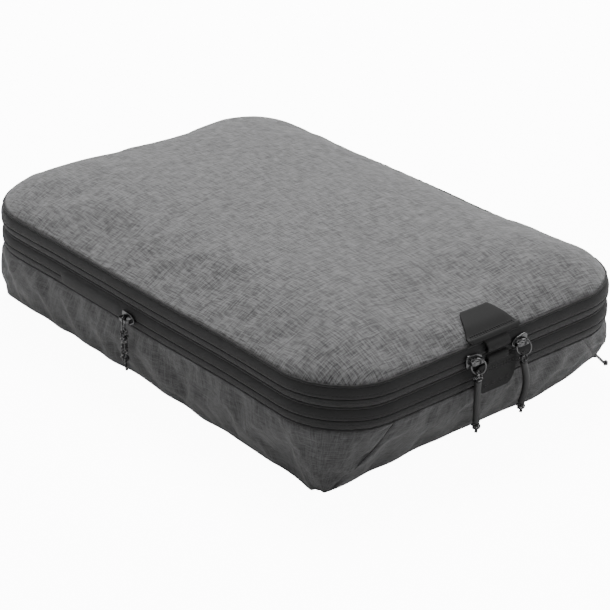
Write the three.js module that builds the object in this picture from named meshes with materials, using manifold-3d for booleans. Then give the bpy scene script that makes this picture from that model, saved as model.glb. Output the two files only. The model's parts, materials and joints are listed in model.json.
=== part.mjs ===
// A zipped packing cube for luggage: a soft boxed tub, a collar that lifts when the
// compression zip is opened, and a domed lid that folds back on its rear edge.
// Units are millimetres, +Z is up, the front with the paired zip sliders faces -Y, and the
// origin is the middle of the flat underside.
import * as THREE from 'three';
import { mergeVertices } from 'three/addons/utils/BufferGeometryUtils.js';
import Module from 'manifold-3d';

const wasm = await Module();
wasm.setup();

// ---- driving dimensions ----
const WIDTH = 241; // outside of the zip bands, along X
const LENGTH = 356; // outside of the zip bands, along Y
const CORNER = 47; // plan radius of the zip bands
const ARC_STEPS = 6; // facets in each rounded corner
const ARC = ARC_STEPS + 1; // outline stations in each corner
const CLOTH = 1.4; // thickness of the body cloth with its coating and seam build-up
const TAPE = 1.2; // thickness of a zip tape
const GAP = 0.3; // space between pieces that touch
const ZIP_GAP = 1.0; // space between the two tapes of a zip, where a slider's neck runs

const BASE_HALF = new THREE.Vector2(113, 160); // half size of the base at its seam
const BASE_CORNER = 4; // the base corners are nearly square
const BASE_LIFT = 2.5; // height of the base seam above the flat underside
const BASE_MARGIN = 34; // width of the turned-up margin of the base

const LOW_SEAM_Z = 39; // wall to compression zip
const MID_SEAM_Z = 52; // compression zip to main zip
const TOP_SEAM_Z = 65; // main zip to top panel
const DOME = 21; // rise of the stuffed top panel above its seam
const COMP_ZIP_Z = (LOW_SEAM_Z + MID_SEAM_Z) / 2;
const MAIN_ZIP_Z = (MID_SEAM_Z + TOP_SEAM_Z) / 2;
const SEAM_INSET = 2.3; // the bands pull in this far at their seams

const LEFT_SLIDER_X = -20.5; // the main sliders, along the front
const RIGHT_SLIDER_X = 15;
const COMP_SLIDER_Y = 4; // compression slider along the left side
const SIDE_ZIP_Z = 14.5; // zip into the lower compartment, low on the right wall
const SIDE_ZIP_HALF = 140; // half length of that zip
const SIDE_SLIDER_Y = -124; // its slider, near the front end
const DIVIDER_Z = 24; // fabric divider between the two compartments
const FRONT_Y = -LENGTH / 2;
const LEFT_X = -WIDTH / 2;

// ---- colours ----
const paint = (color, roughness = 0.85, metalness = 0) => (
  new THREE.MeshStandardMaterial({ color, roughness, metalness }));
const heatherCloth = paint(0x6f6f71);
const wallCloth = paint(0x626264);
const liningCloth = paint(0x9a9a9c);
const tapeBlack = paint(0x2c2c2e);
const pipingBlack = paint(0x161617);
const coilBlack = paint(0x1d1d1f, 0.5);
const tabRubber = paint(0x333335, 0.6);
const sliderMetal = paint(0x3a3a3d, 0.35, 0.9);
const sleeveRubber = paint(0x3d3d40, 0.55);
const cordBlack = paint(0x17171a, 0.6);

const cube = new THREE.Group();

function addPiece(name, geometry, material) {
  const mesh = new THREE.Mesh(geometry, material);
  mesh.name = name;
  cube.add(mesh);
  return mesh;
}

// ---- meshes from rings of points ----
// Each ring is an array of Vector3 with the same count. Open ends are capped by ladders of
// triangles from one half of the ring to the other, which suits strips as well as convex rings.
function loft(rings, { closeRings = true, closeLoft = false, capEnds = !closeLoft } = {}) {
  const count = rings[0].length;
  const positions = rings.flat().flatMap((p) => [p.x, p.y, p.z]);
  const faces = [];
  const ringCount = closeLoft ? rings.length : rings.length - 1;
  const stepCount = closeRings ? count : count - 1;
  for (let r = 0; r < ringCount; r++) {
    const next = (r + 1) % rings.length;
    for (let i = 0; i < stepCount; i++) {
      const j = (i + 1) % count;
      const [a, b, c, d] = [r * count + i, r * count + j, next * count + j, next * count + i];
      faces.push(a, b, c, a, c, d);
    }
  }
  if (capEnds) {
    for (const [r, flip] of [[0, true], [rings.length - 1, false]]) {
      for (let i = 0; i + 1 < count - 1 - i; i++) {
        const [a, b, c, d] = [i, i + 1, count - 2 - i, count - 1 - i].map((k) => r * count + k);
        const cap = b === c ? [a, b, d] : [a, b, c, a, c, d];
        faces.push(...(flip ? cap.reverse() : cap));
      }
    }
  }
  const geometry = new THREE.BufferGeometry();
  geometry.setAttribute('position', new THREE.Float32BufferAttribute(positions, 3));
  geometry.setIndex(faces);
  return outward(geometry);
}

// Turns a closed geometry inside out if its volume is negative.
function outward(geometry) {
  const p = geometry.attributes.position;
  const index = geometry.index.array;
  const [a, b, c] = [new THREE.Vector3(), new THREE.Vector3(), new THREE.Vector3()];
  let volume = 0;
  for (let i = 0; i < index.length; i += 3) {
    a.fromBufferAttribute(p, index[i]);
    b.fromBufferAttribute(p, index[i + 1]);
    c.fromBufferAttribute(p, index[i + 2]);
    volume += a.dot(b.cross(c));
  }
  if (volume < 0) {
    for (let i = 0; i < index.length; i += 3) [index[i + 1], index[i + 2]] = [index[i + 2], index[i + 1]];
  }
  return geometry;
}

// Rounded-rectangle outline, counter-clockwise from the right end of the front edge.
function outline(halfX, halfY, radius, z) {
  const points = [];
  for (const [sx, sy, start] of [[1, -1, -90], [1, 1, 0], [-1, 1, 90], [-1, -1, 180]]) {
    for (let i = 0; i <= ARC_STEPS; i++) {
      const angle = THREE.MathUtils.degToRad(start + (90 * i) / ARC_STEPS);
      points.push(new THREE.Vector3(
        sx * (halfX - radius) + radius * Math.cos(angle),
        sy * (halfY - radius) + radius * Math.sin(angle),
        z,
      ));
    }
  }
  return points;
}
const bandLoop = (inset, z) => outline(WIDTH / 2 - inset, LENGTH / 2 - inset, CORNER - inset, z);
const baseLoop = (inset, z) => outline(
  BASE_HALF.x - inset, BASE_HALF.y - inset, Math.max(BASE_CORNER, BASE_CORNER + inset * 0.9), z);

// A band of constant section right round the cube; section is [inset, z] pairs.
const bandRing = (section) => loft(section.map(([inset, z]) => bandLoop(inset, z)), { closeLoft: true });

// The same section along part of the outline, from one outline point to another.
function bandRun(section, first, last) {
  const stations = [];
  for (let s = first; s <= last; s++) {
    stations.push(section.map(([inset, z]) => bandLoop(inset, z)[s % (4 * (ARC_STEPS + 1))]));
  }
  return loft(stations);
}

// ---- boolean helpers ----
function toSolid(geometry) {
  const bare = geometry.clone();
  bare.deleteAttribute('normal');
  bare.deleteAttribute('uv');
  const merged = mergeVertices(bare, 1e-4);
  return new wasm.Manifold(new wasm.Mesh({
    numProp: 3,
    vertProperties: merged.attributes.position.array,
    triVerts: new Uint32Array(merged.index.array),
  }));
}
function toGeometry(solid) {
  const { vertProperties, triVerts } = solid.getMesh();
  const geometry = new THREE.BufferGeometry();
  geometry.setAttribute('position', new THREE.BufferAttribute(new Float32Array(vertProperties), 3));
  geometry.setIndex(new THREE.BufferAttribute(new Uint32Array(triVerts), 1));
  return geometry;
}
const joined = (geometries) => toGeometry(geometries.map(toSolid).reduce((sum, s) => sum.add(s)));
const cut = (geometry, tool) => toGeometry(toSolid(geometry).subtract(toSolid(tool)));

function boxFrom(x0, x1, y0, y1, z0, z1) {
  return new THREE.BoxGeometry(x1 - x0, y1 - y0, z1 - z0)
    .translate((x0 + x1) / 2, (y0 + y1) / 2, (z0 + z1) / 2);
}

// ---- base and walls ----
const marginZ = (inset) => BASE_LIFT * Math.max(0, 1 - inset / BASE_MARGIN) ** 2;
const BASE_RINGS = [0, 6, 13, 22, BASE_MARGIN];

function basePanel() {
  const under = BASE_RINGS.map((inset) => baseLoop(inset, marginZ(inset)));
  const upper = BASE_RINGS.map((inset) => baseLoop(inset, marginZ(inset) + CLOTH));
  return loft([...under.reverse(), ...upper]);
}
addPiece('base_panel', basePanel(), wallCloth);

// Point of the wall's outer face at an outline station, t of the way up, moved inward by push.
const WALL_BOTTOM = BASE_LIFT + CLOTH + GAP;
const WALL_TOP = LOW_SEAM_Z - 1.1;
const WALL_BULGE = 3.2;
const wallShare = (z) => (z - WALL_BOTTOM) / (WALL_TOP - WALL_BOTTOM);
const WALL_LOW = baseLoop(0.8, WALL_BOTTOM);
const WALL_HIGH = bandLoop(SEAM_INSET + 0.6, WALL_TOP);
function wallPoint(station, t, push = 0) {
  const s = station % WALL_LOW.length;
  const turn = THREE.MathUtils.degToRad(-90 + 90 * Math.floor(s / ARC) + (90 * (s % ARC)) / ARC_STEPS);
  const out = new THREE.Vector3(Math.cos(turn), Math.sin(turn), 0);
  const bulge = WALL_BULGE * Math.sin(Math.PI * t);
  return WALL_LOW[s].clone().lerp(WALL_HIGH[s], t).addScaledVector(out, bulge - push);
}
// Outer face of the long straight wall at a height.
const wallX = (z) => wallPoint(ARC - 1, wallShare(z)).x;

// Wall cloth between two outline stations. The long side panels wrap round the corners.
const WALL_LEVELS = 4;
function wallPanel(first, last) {
  const stations = [];
  for (let s = first; s <= last; s++) {
    const column = (push) => Array.from({ length: WALL_LEVELS + 1 }, (_, level) => (
      wallPoint(s, level / WALL_LEVELS, push)));
    stations.push([...column(0), ...column(CLOTH).reverse()]);
  }
  // Pulls the two ends in along the outline, so that the corner seams keep their gap.
  for (const [end, next] of [[0, 1], [stations.length - 1, stations.length - 2]]) {
    const along = stations[end].map((p, i) => stations[next][i].clone().sub(p).setZ(0).normalize());
    stations[end].forEach((p, i) => p.addScaledVector(along[i], GAP));
  }
  return loft(stations);
}
const SIDE_SLOT = 6; // half height of the slot that the side zip fills
const slotForZip = boxFrom(
  BASE_HALF.x - 18, WIDTH / 2 + 15, -SIDE_ZIP_HALF, SIDE_ZIP_HALF,
  SIDE_ZIP_Z - SIDE_SLOT, SIDE_ZIP_Z + SIDE_SLOT);
addPiece('right_wall_panel', cut(wallPanel(0, 2 * ARC - 1), slotForZip), wallCloth);
addPiece('back_wall_panel', wallPanel(2 * ARC - 1, 2 * ARC), wallCloth);
addPiece('left_wall_panel', wallPanel(2 * ARC, 4 * ARC - 1), wallCloth);
addPiece('front_wall_panel', wallPanel(4 * ARC - 1, 4 * ARC), wallCloth);

// Fabric panel that parts clean clothes from worn ones, held round its edge by the walls.
const DIVIDER_SHEET = 0.8;
const dividerLoop = (z) => WALL_LOW.map((_, s) => (
  wallPoint(s, wallShare(DIVIDER_Z), CLOTH + 0.5).setZ(z)));
const dividerRings = [dividerLoop(DIVIDER_Z), dividerLoop(DIVIDER_Z + DIVIDER_SHEET)];
addPiece('divider_panel', loft(dividerRings), liningCloth);

// Bound seam allowances, inside and between the panels.
const fin = (outer, inner, low, high) => [[outer, low], [outer, high], [inner, high], [inner, low]];
const baseFin = fin(2.8, 3.8, WALL_BOTTOM, WALL_BOTTOM + 5).map(([inset, z]) => baseLoop(inset, z));
addPiece('base_seam_binding', loft(baseFin, { closeLoft: true }), tapeBlack);
addPiece('low_seam_piping', bandRing(fin(2.2, 5.6, LOW_SEAM_Z - 0.8, LOW_SEAM_Z)), pipingBlack);
addPiece('mid_seam_binding', bandRing(fin(2.2, 6.6, MID_SEAM_Z - 0.2, MID_SEAM_Z + 0.7)), pipingBlack);
addPiece('top_seam_piping', bandRing(fin(2.2, 5.6, TOP_SEAM_Z + 0.1, TOP_SEAM_Z + 0.9)), pipingBlack);

// ---- zip tapes and coils round the cube ----
const BAND_BOW = 0.5; // inset of a tape half way up
const BAND_EDGE = 0.2; // inset of a tape beside the coil
function tapeSection(zipZ, seamZ) {
  const side = Math.sign(seamZ - zipZ);
  const near = zipZ + (side * ZIP_GAP) / 2;
  const far = seamZ - side * 0.5;
  const middle = (near + far) / 2 + side * 1;
  return [
    [BAND_EDGE, near], [BAND_BOW, middle], [SEAM_INSET, far],
    [SEAM_INSET + TAPE, far], [BAND_BOW + TAPE, middle], [BAND_EDGE + TAPE, near],
  ];
}
function coilSection(zipZ, side) {
  const near = zipZ + (side * ZIP_GAP) / 2;
  return fin(BAND_EDGE + TAPE + GAP, BAND_EDGE + TAPE + GAP + 1.4, near, near + side * 1.1);
}
addPiece('compression_zip_tape_lower', bandRing(tapeSection(COMP_ZIP_Z, LOW_SEAM_Z + 0.1)), tapeBlack);
addPiece('compression_zip_tape_upper', bandRing(tapeSection(COMP_ZIP_Z, MID_SEAM_Z)), tapeBlack);
addPiece('compression_zip_coil_lower', bandRing(coilSection(COMP_ZIP_Z, -1)), coilBlack);
addPiece('compression_zip_coil_upper', bandRing(coilSection(COMP_ZIP_Z, 1)), coilBlack);
addPiece('main_zip_tape_lower', bandRing(tapeSection(MAIN_ZIP_Z, MID_SEAM_Z + 0.6)), tapeBlack);
addPiece('main_zip_tape_upper', bandRing(tapeSection(MAIN_ZIP_Z, TOP_SEAM_Z + 0.2)), tapeBlack);
// The main coil stops at the rear corners, where the lid folds.
const COIL_FIRST = 2 * ARC + 3;
const COIL_LAST = COIL_FIRST + 4 * ARC - 7;
addPiece('main_zip_coil_lower', bandRun(coilSection(MAIN_ZIP_Z, -1), COIL_FIRST, COIL_LAST), coilBlack);
addPiece('main_zip_coil_upper', bandRun(coilSection(MAIN_ZIP_Z, 1), COIL_FIRST, COIL_LAST), coilBlack);

// Cloth strip over the joined ends of the compression zip, on the left side.
const COVER = { start: COMP_SLIDER_Y + 8, long: 66, thick: 0.9, off: 0.2 };
addPiece('compression_zip_cover', boxFrom(
  LEFT_X - COVER.off - COVER.thick, LEFT_X - COVER.off, COVER.start, COVER.start + COVER.long,
  LOW_SEAM_Z + 0.6, MID_SEAM_Z - 0.8), tapeBlack);

// Folded strip behind the compression zip that lets the cube grow.
const GUSSET_EDGE = 6.2; // inset of its two sewn edges
const GUSSET_FOLD = 16; // inset of the fold
const GUSSET_SHEET = 1.4;
const [gussetLow, gussetHigh] = [LOW_SEAM_Z + 0.6, MID_SEAM_Z - 0.8];
addPiece('expansion_gusset', bandRing([
  [GUSSET_EDGE, gussetLow], [GUSSET_FOLD, COMP_ZIP_Z - GUSSET_SHEET / 2],
  [GUSSET_FOLD, COMP_ZIP_Z + GUSSET_SHEET / 2], [GUSSET_EDGE, gussetHigh],
  [GUSSET_EDGE, gussetHigh - GUSSET_SHEET], [GUSSET_FOLD - 2.4, COMP_ZIP_Z],
  [GUSSET_EDGE, gussetLow + GUSSET_SHEET],
]), liningCloth);

// ---- lid ----
const DOME_EDGE = 3; // inset of the panel's sewn edge
const DOME_FOOT = TOP_SEAM_Z + 1.2; // height of that edge
// Height of the top panel at an inset from the band, as a stuffed pillow.
const domeZ = (inset) => {
  const reach = WIDTH / 2 - 4;
  const share = Math.min(1, Math.max(0, inset - DOME_EDGE) / reach);
  return DOME_FOOT + DOME * (1 - (1 - share) ** 2.6) ** 0.75;
};
const DOME_INSETS = [DOME_EDGE, 7, 12, 19, 28, 42, 60, 84, 108];
function topPanel() {
  const loopAt = (inset, z) => outline(
    WIDTH / 2 - inset, LENGTH / 2 - inset, Math.max(6, CORNER - inset * 0.45), z);
  const face = DOME_INSETS.map((inset) => loopAt(inset, domeZ(inset)));
  const back = DOME_INSETS.map((inset) => loopAt(inset + CLOTH / 2, domeZ(inset) - CLOTH));
  back[0] = loopAt(DOME_EDGE + CLOTH, DOME_FOOT);
  return loft([...face.reverse(), ...back]);
}
addPiece('top_panel', topPanel(), heatherCloth);

// ---- tear-open tabs at the middle of the front ----
// A strip of even thickness that follows points in the YZ plane, from x0 to x1.
function foldedStrip(path, thickness, halfWidths) {
  const rings = path.map(([y, z], i) => {
    const [py, pz] = path[Math.max(0, i - 1)];
    const [ny, nz] = path[Math.min(path.length - 1, i + 1)];
    const length = Math.hypot(ny - py, nz - pz);
    const [oy, oz] = [(-(nz - pz) / length) * thickness, ((ny - py) / length) * thickness];
    const w = halfWidths[i];
    return [
      new THREE.Vector3(-w, y, z), new THREE.Vector3(w, y, z),
      new THREE.Vector3(w, y + oy, z + oz), new THREE.Vector3(-w, y + oy, z + oz),
    ];
  });
  return loft(rings);
}
const TAB_X = -2.2; // the tabs are sewn a little left of the middle
const TAB_TOP_HALF = 10.6; // half width of the upper tab at its top edge
const TAB_HALF = 20; // half width of the upper tab at the seam
const PATCH_HALF = 15.5; // half width of the lower tab's patch
const LOOP_HALF = 8.5;
const TAB_SHEET = 1.0;
const TAB_CLEAR = 0.4; // space between a tab and the cloth behind it
// Upper tab: lies on the front slope of the top panel, then turns over the edge as a loop.
const onPanel = (inset) => [FRONT_Y + inset, domeZ(inset) + TAB_CLEAR];
addPiece('upper_tab', foldedStrip([
  onPanel(18.5), onPanel(12), onPanel(7),
  [FRONT_Y + 2.0, TOP_SEAM_Z + 2.4], [FRONT_Y - 0.6, TOP_SEAM_Z - 1.2],
  [FRONT_Y - 1.2, MAIN_ZIP_Z + 2.4], [FRONT_Y - 0.5, MAIN_ZIP_Z + 0.9],
], -TAB_SHEET, [
  TAB_TOP_HALF, 14.5, 17.8, TAB_HALF, LOOP_HALF, LOOP_HALF, LOOP_HALF,
]).translate(TAB_X, 0, 0), tabRubber);
// Lower tab: a loop beside the main zip, then a patch that hangs over the compression zip and
// stays outside its tapes all the way down, so that it slides past them when the collar rises.
addPiece('lower_tab', foldedStrip([
  [FRONT_Y - 0.5, MAIN_ZIP_Z - 0.9], [FRONT_Y - 1.2, MAIN_ZIP_Z - 2.2], [FRONT_Y - 1.2, MAIN_ZIP_Z - 4.4],
  [FRONT_Y - 0.2, MID_SEAM_Z + 0.4], [FRONT_Y - TAB_CLEAR, MID_SEAM_Z - 1.5],
  [FRONT_Y - TAB_CLEAR, LOW_SEAM_Z + 1], [FRONT_Y - TAB_CLEAR / 2, LOW_SEAM_Z - 5],
  [FRONT_Y - TAB_CLEAR / 2, LOW_SEAM_Z - 7.5],
], -TAB_SHEET, [
  LOOP_HALF, LOOP_HALF, LOOP_HALF, LOOP_HALF + 1, PATCH_HALF, PATCH_HALF - 1, PATCH_HALF - 3, 10,
]).translate(TAB_X, 0, 0), tabRubber);

// ---- zip sliders and pulls ----
// Local frame of a slider on a vertical zip: the zip runs along X, Y points into the cube,
// and the origin is on the outer face of the band at the zip's line.
const SLIDER_LONG = 12;
const SLIDER_HIGH = 8.2;
const PLATE = 1.3;
const BRIDGE_BAR = 1.4; // thickness of the bridge above its hole
const BRIDGE_HOLE = 2.5;
const PIVOT_OUT = 0.5 + PLATE + BRIDGE_HOLE + BRIDGE_BAR / 2; // bridge bar from the band
function plateShape(long, high) {
  const [a, b, c] = [long / 2, high / 2, 1.6];
  const shape = new THREE.Shape();
  shape.moveTo(-a + c, -b);
  shape.lineTo(a - 2 * c, -b * 0.8);
  shape.lineTo(a, -b * 0.35);
  shape.lineTo(a, b * 0.35);
  shape.lineTo(a - 2 * c, b * 0.8);
  shape.lineTo(-a + c, b);
  shape.lineTo(-a, b - c);
  shape.lineTo(-a, -b + c);
  shape.closePath();
  return shape;
}
// An extruded shape drawn in XZ that runs from y0 inwards by depth.
function slab(shape, y0, depth) {
  return new THREE.ExtrudeGeometry(shape, { depth, bevelEnabled: false, curveSegments: 6 })
    .rotateX(Math.PI / 2)
    .translate(0, y0 + depth, 0);
}
function sliderBody(inside = 3.5) {
  const outer = slab(plateShape(SLIDER_LONG, SLIDER_HIGH), -0.5 - PLATE, PLATE);
  const inner = slab(plateShape(SLIDER_LONG, SLIDER_HIGH), inside, 1.1);
  const neck = boxFrom(1.5, 5, -0.6, inside + 0.2, -GAP, GAP);
  const top = -0.5 - PLATE - BRIDGE_HOLE - BRIDGE_BAR;
  const bar = boxFrom(-4.6, 4.6, top, top + BRIDGE_BAR, -1.1, 1.1);
  const legs = [-4.0, 4.0].map((x) => boxFrom(x - 0.6, x + 0.6, top + 0.2, -0.6, -1.1, 1.1));
  return joined([outer, inner, neck, bar, ...legs]);
}
// Long oval link of round wire, hanging in the YZ plane round the bridge bar.
const WIRE = 0.5; // wire radius
const LINK_HALF = 3.0; // half width of the link's centre line
const LINK_TOP = 1.9; // centre line above the bar's middle
const LINK_DROP = 8.2; // centre line below the bar's middle
function wireLink() {
  const path = new THREE.CurvePath();
  const at = (y, z) => new THREE.Vector3(0, y, z);
  const bend = (z, sign) => new THREE.CubicBezierCurve3(
    at(sign * LINK_HALF, z), at(sign * LINK_HALF, z + sign * 1.6),
    at(-sign * LINK_HALF, z + sign * 1.6), at(-sign * LINK_HALF, z));
  const [high, low] = [LINK_TOP - 1.2, -LINK_DROP + 1.2];
  path.add(bend(high, 1));
  path.add(new THREE.LineCurve3(at(-LINK_HALF, high), at(-LINK_HALF, low)));
  path.add(bend(low, -1));
  path.add(new THREE.LineCurve3(at(LINK_HALF, low), at(LINK_HALF, high)));
  const points = path.getPoints(5);
  points.pop();
  const unique = points.filter((p, i) => i === 0 || p.distanceTo(points[i - 1]) > 1e-4);
  return tubeRing(unique, WIRE, 6);
}
// Closed tube whose centre line lies in a plane of constant x.
function tubeRing(points, radius, sides) {
  const rings = points.map((p, i) => {
    const before = points[(i + points.length - 1) % points.length];
    const after = points[(i + 1) % points.length];
    const tangent = after.clone().sub(before).normalize();
    const side = new THREE.Vector3(1, 0, 0);
    const normal = new THREE.Vector3().crossVectors(tangent, side).normalize();
    const ring = [];
    for (let k = 0; k < sides; k++) {
      const angle = (2 * Math.PI * k) / sides;
      const [across, away] = [radius * Math.cos(angle), radius * Math.sin(angle)];
      ring.push(p.clone().addScaledVector(side, across).addScaledVector(normal, away));
    }
    return ring;
  });
  return loft(rings, { closeLoft: true });
}
// A solid of revolution about Z from [radius, z] pairs that start and end on the axis.
const turned = (profile, sides = 10) => new THREE.LatheGeometry(
  profile.map(([r, z]) => new THREE.Vector2(r, z)), sides).rotateX(Math.PI / 2);
// Cord eye that links the wire: a ring in the XZ plane.
function cordEye(z) {
  return new THREE.TorusGeometry(1.75, 0.7, 6, 12).rotateX(Math.PI / 2).translate(0, 0, z);
}
const ball = (radius, x, y, z) => new THREE.SphereGeometry(radius, 8, 6).translate(x, y, z);
function capsuleBetween(from, to, radius) {
  const length = from.distanceTo(to);
  const axis = to.clone().sub(from).normalize();
  const turn = new THREE.Quaternion().setFromUnitVectors(new THREE.Vector3(0, 1, 0), axis);
  return new THREE.CapsuleGeometry(radius, length, 2, 7)
    .applyQuaternion(turn)
    .translate((from.x + to.x) / 2, (from.y + to.y) / 2, (from.z + to.z) / 2);
}

const SLEEVE_LONG = 26;
const SLEEVE_R = 2.1;
const SLEEVE_BORE = 1.5;
const SLEEVE_TOP = -LINK_DROP - 4.7;
const SLEEVE_END = SLEEVE_TOP - SLEEVE_LONG;
const CORD_R = 0.9;
const CORE_R = SLEEVE_BORE - GAP; // the cord where it runs through the sleeve
const EYE_Z = -LINK_DROP - 0.35; // a cord's eye, round the lower end of the wire link
const KNOT_R = 2.5;

// The cord of a main pull: eye, head knot, a core through the sleeve, end knot and two tails.
function mainPullCord() {
  const tail = (x, y, drop) => capsuleBetween(
    new THREE.Vector3(x / 2, 0, SLEEVE_END - 2.4), new THREE.Vector3(x, y, SLEEVE_END - drop), CORD_R);
  const knotsAndCore = [
    [0, SLEEVE_END - 3.2], [1.4, SLEEVE_END - 3.0], [KNOT_R, SLEEVE_END - 1.9],
    [KNOT_R - 0.2, SLEEVE_END - 0.8], [CORE_R, SLEEVE_END - GAP], [CORE_R, SLEEVE_TOP + GAP],
    [KNOT_R - 0.1, SLEEVE_TOP + 0.9], [KNOT_R, SLEEVE_TOP + 2.2],
    [1.5, SLEEVE_TOP + 3.2], [0, SLEEVE_TOP + 3.4],
  ];
  return joined([cordEye(EYE_Z), turned(knotsAndCore), tail(-1.8, -0.3, 5.2), tail(1.8, 0.3, 5.4)]);
}
// The soft tube over it, a little flared at its ends.
function sleeve() {
  const middle = (SLEEVE_TOP + SLEEVE_END) / 2;
  const geometry = turned([
    [SLEEVE_BORE, SLEEVE_TOP], [SLEEVE_BORE, SLEEVE_END], [SLEEVE_R + 0.25, SLEEVE_END],
    [SLEEVE_R, SLEEVE_END + 2.5], [SLEEVE_R - 0.1, middle], [SLEEVE_R, SLEEVE_TOP - 2.5],
    [SLEEVE_R + 0.2, SLEEVE_TOP], [SLEEVE_BORE, SLEEVE_TOP],
  ], 12);
  geometry.deleteAttribute('normal');
  geometry.deleteAttribute('uv');
  return outward(mergeVertices(geometry, 1e-4));
}
// A thin two-strand pull with a knot near its eye and an end knot.
function knottedPullCord() {
  const at = (x, z) => new THREE.Vector3(x, 0, z);
  const middle = EYE_Z - 3.6;
  const end = middle - 17;
  return joined([
    cordEye(EYE_Z),
    turned([[0, middle - 1.7], [1.7, middle - 1.3], [2.2, middle], [1.9, middle + 1.2], [0, middle + 1.8]]),
    capsuleBetween(at(-0.75, middle), at(-0.75, end), CORD_R),
    capsuleBetween(at(0.75, middle), at(0.75, end), CORD_R),
    turned([[0, end - 3.2], [1.9, end - 2.6], [2.4, end - 0.6], [1.8, end + 1.3], [0, end + 2.0]]),
    capsuleBetween(at(0, end - 2.4), at(0.6, end - 8), CORD_R),
  ]);
}

const NECK_Y = 1.8; // middle of the slider's neck, in the thickness of the tapes and coils
const pivotOf = (lean) => new THREE.Vector3(
  0, NECK_Y - (PIVOT_OUT + NECK_Y) * Math.cos(lean), -(PIVOT_OUT + NECK_Y) * Math.sin(lean));
const LINK_TURN = Math.PI / 4; // a wire link hangs half way between along and across its zip

// Sets a slider and its hanging parts on a band. turn is the band's heading about Z, and lean
// tips the slider with a wall whose top leans out; the parts on the pivot still hang straight.
function hang(prefix, origin, turn, pieces, lean = 0) {
  const pivot = pivotOf(lean);
  for (const [suffix, geometry, material, onPivot] of pieces) {
    const placed = geometry.clone();
    if (onPivot) placed.rotateZ(LINK_TURN).translate(pivot.x, pivot.y, pivot.z);
    else placed.translate(0, -NECK_Y, 0).rotateX(lean).translate(0, NECK_Y, 0);
    placed.rotateZ(turn).translate(origin.x, origin.y, origin.z);
    addPiece(`${prefix}_${suffix}`, placed, material);
  }
}
for (const [side, x] of [['left', LEFT_SLIDER_X], ['right', RIGHT_SLIDER_X]]) {
  // The noses of the two sliders face each other.
  const body = sliderBody();
  const flipped = x > 0 ? body.clone().rotateZ(Math.PI).rotateX(Math.PI) : body;
  const origin = new THREE.Vector3(x, FRONT_Y, MAIN_ZIP_Z);
  hang(`main_${side}`, origin, 0, [
    ['slider', flipped, sliderMetal, false],
    ['pull_link', wireLink(), sliderMetal, true],
    ['pull_cord', mainPullCord(), cordBlack, true],
    ['pull_sleeve', sleeve(), sleeveRubber, true],
  ]);
}
hang('compression', new THREE.Vector3(LEFT_X, COMP_SLIDER_Y, COMP_ZIP_Z), -Math.PI / 2, [
  ['slider', sliderBody(), sliderMetal, false],
  ['pull_link', wireLink(), sliderMetal, true],
  ['pull_cord', knottedPullCord(), cordBlack, true],
]);

// ---- zip into the lower compartment, along the right wall ----
const SIDE_TAPE = 1.0;
const SIDE_TAPE_SINK = 0.6; // the tape's face below the wall's face
for (const [side, sign] of [['lower', -1], ['upper', 1]]) {
  const near = SIDE_ZIP_Z + (sign * ZIP_GAP) / 2;
  const far = SIDE_ZIP_Z + sign * (SIDE_SLOT - GAP);
  const half = SIDE_ZIP_HALF - GAP;
  const strip = (x0, x1, z0, z1) => loft([-half, half].map((y) => [
    new THREE.Vector3(wallX(z0) - x0, y, z0), new THREE.Vector3(wallX(z1) - x0, y, z1),
    new THREE.Vector3(wallX(z1) - x1, y, z1), new THREE.Vector3(wallX(z0) - x1, y, z0),
  ]));
  const tape = strip(SIDE_TAPE_SINK, SIDE_TAPE_SINK + SIDE_TAPE, near, far);
  addPiece(`side_zip_tape_${side}`, tape, tapeBlack);
  const coil = SIDE_TAPE_SINK + SIDE_TAPE + GAP;
  addPiece(`side_zip_coil_${side}`, strip(coil, coil + 1.2, near, near + sign * 1.1), coilBlack);
}
const sideOrigin = new THREE.Vector3(wallX(SIDE_ZIP_Z), SIDE_SLIDER_Y, SIDE_ZIP_Z);
const sideLean = THREE.MathUtils.degToRad(8);
hang('side', sideOrigin, Math.PI / 2, [
  ['slider', sliderBody(), sliderMetal, false],
  ['pull_link', wireLink(), sliderMetal, true],
], sideLean);
// Its cord hangs from the link to the surface that the cube stands on, and lies there, forward
// along the wall.
const sidePivotX = sideOrigin.x - pivotOf(sideLean).y;
const linkLow = SIDE_ZIP_Z + pivotOf(sideLean).z - LINK_DROP;
const headZ = linkLow - 2.6;
const HEAD_KNOT_R = 1.7;
const END_KNOT_R = 1.9;
addPiece('side_pull_head_knot', joined([
  cordEye(0).rotateZ(LINK_TURN + Math.PI / 2).translate(sidePivotX, SIDE_SLIDER_Y, linkLow - 0.35),
  ball(HEAD_KNOT_R, sidePivotX, SIDE_SLIDER_Y, headZ),
]), cordBlack);
const LYING_Z = CORD_R + 0.2; // the cord's middle where it lies down
const cordRoute = new THREE.CatmullRomCurve3([
  [0, 2.2, headZ - 0.2], [0.4, 7, 1.6], [-0.4, 16, LYING_Z], [-2.6, 25, LYING_Z], [-5.6, 33, LYING_Z],
].map(([x, forward, z]) => new THREE.Vector3(sidePivotX + x, SIDE_SLIDER_Y - forward, z)));
const cordSection = new THREE.Shape().absarc(0, 0, CORD_R, 0, 2 * Math.PI);
addPiece('side_pull_cord', new THREE.ExtrudeGeometry(cordSection, {
  extrudePath: cordRoute, steps: 16, bevelEnabled: false, curveSegments: 8,
}), cordBlack);
const cordEnd = cordRoute.getPointAt(1).addScaledVector(cordRoute.getTangentAt(1), END_KNOT_R + 0.4);
addPiece('side_pull_end_knot', ball(END_KNOT_R, cordEnd.x, cordEnd.y, END_KNOT_R + 0.1), cordBlack);

export default cube;
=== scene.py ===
# %% [markdown]
# # A zipped packing cube
# A packing cube is a cloth box for clothes in a suitcase. This one has a domed lid on a zip, a
# second zip below it that lets the cube grow or squeezes it flat, and a third zip low on its
# right side. The CAD frame holds every part at its real place, so the lesson starts by loading
# it and then sews a cloth, tape or metal piece over each part of it.

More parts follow.
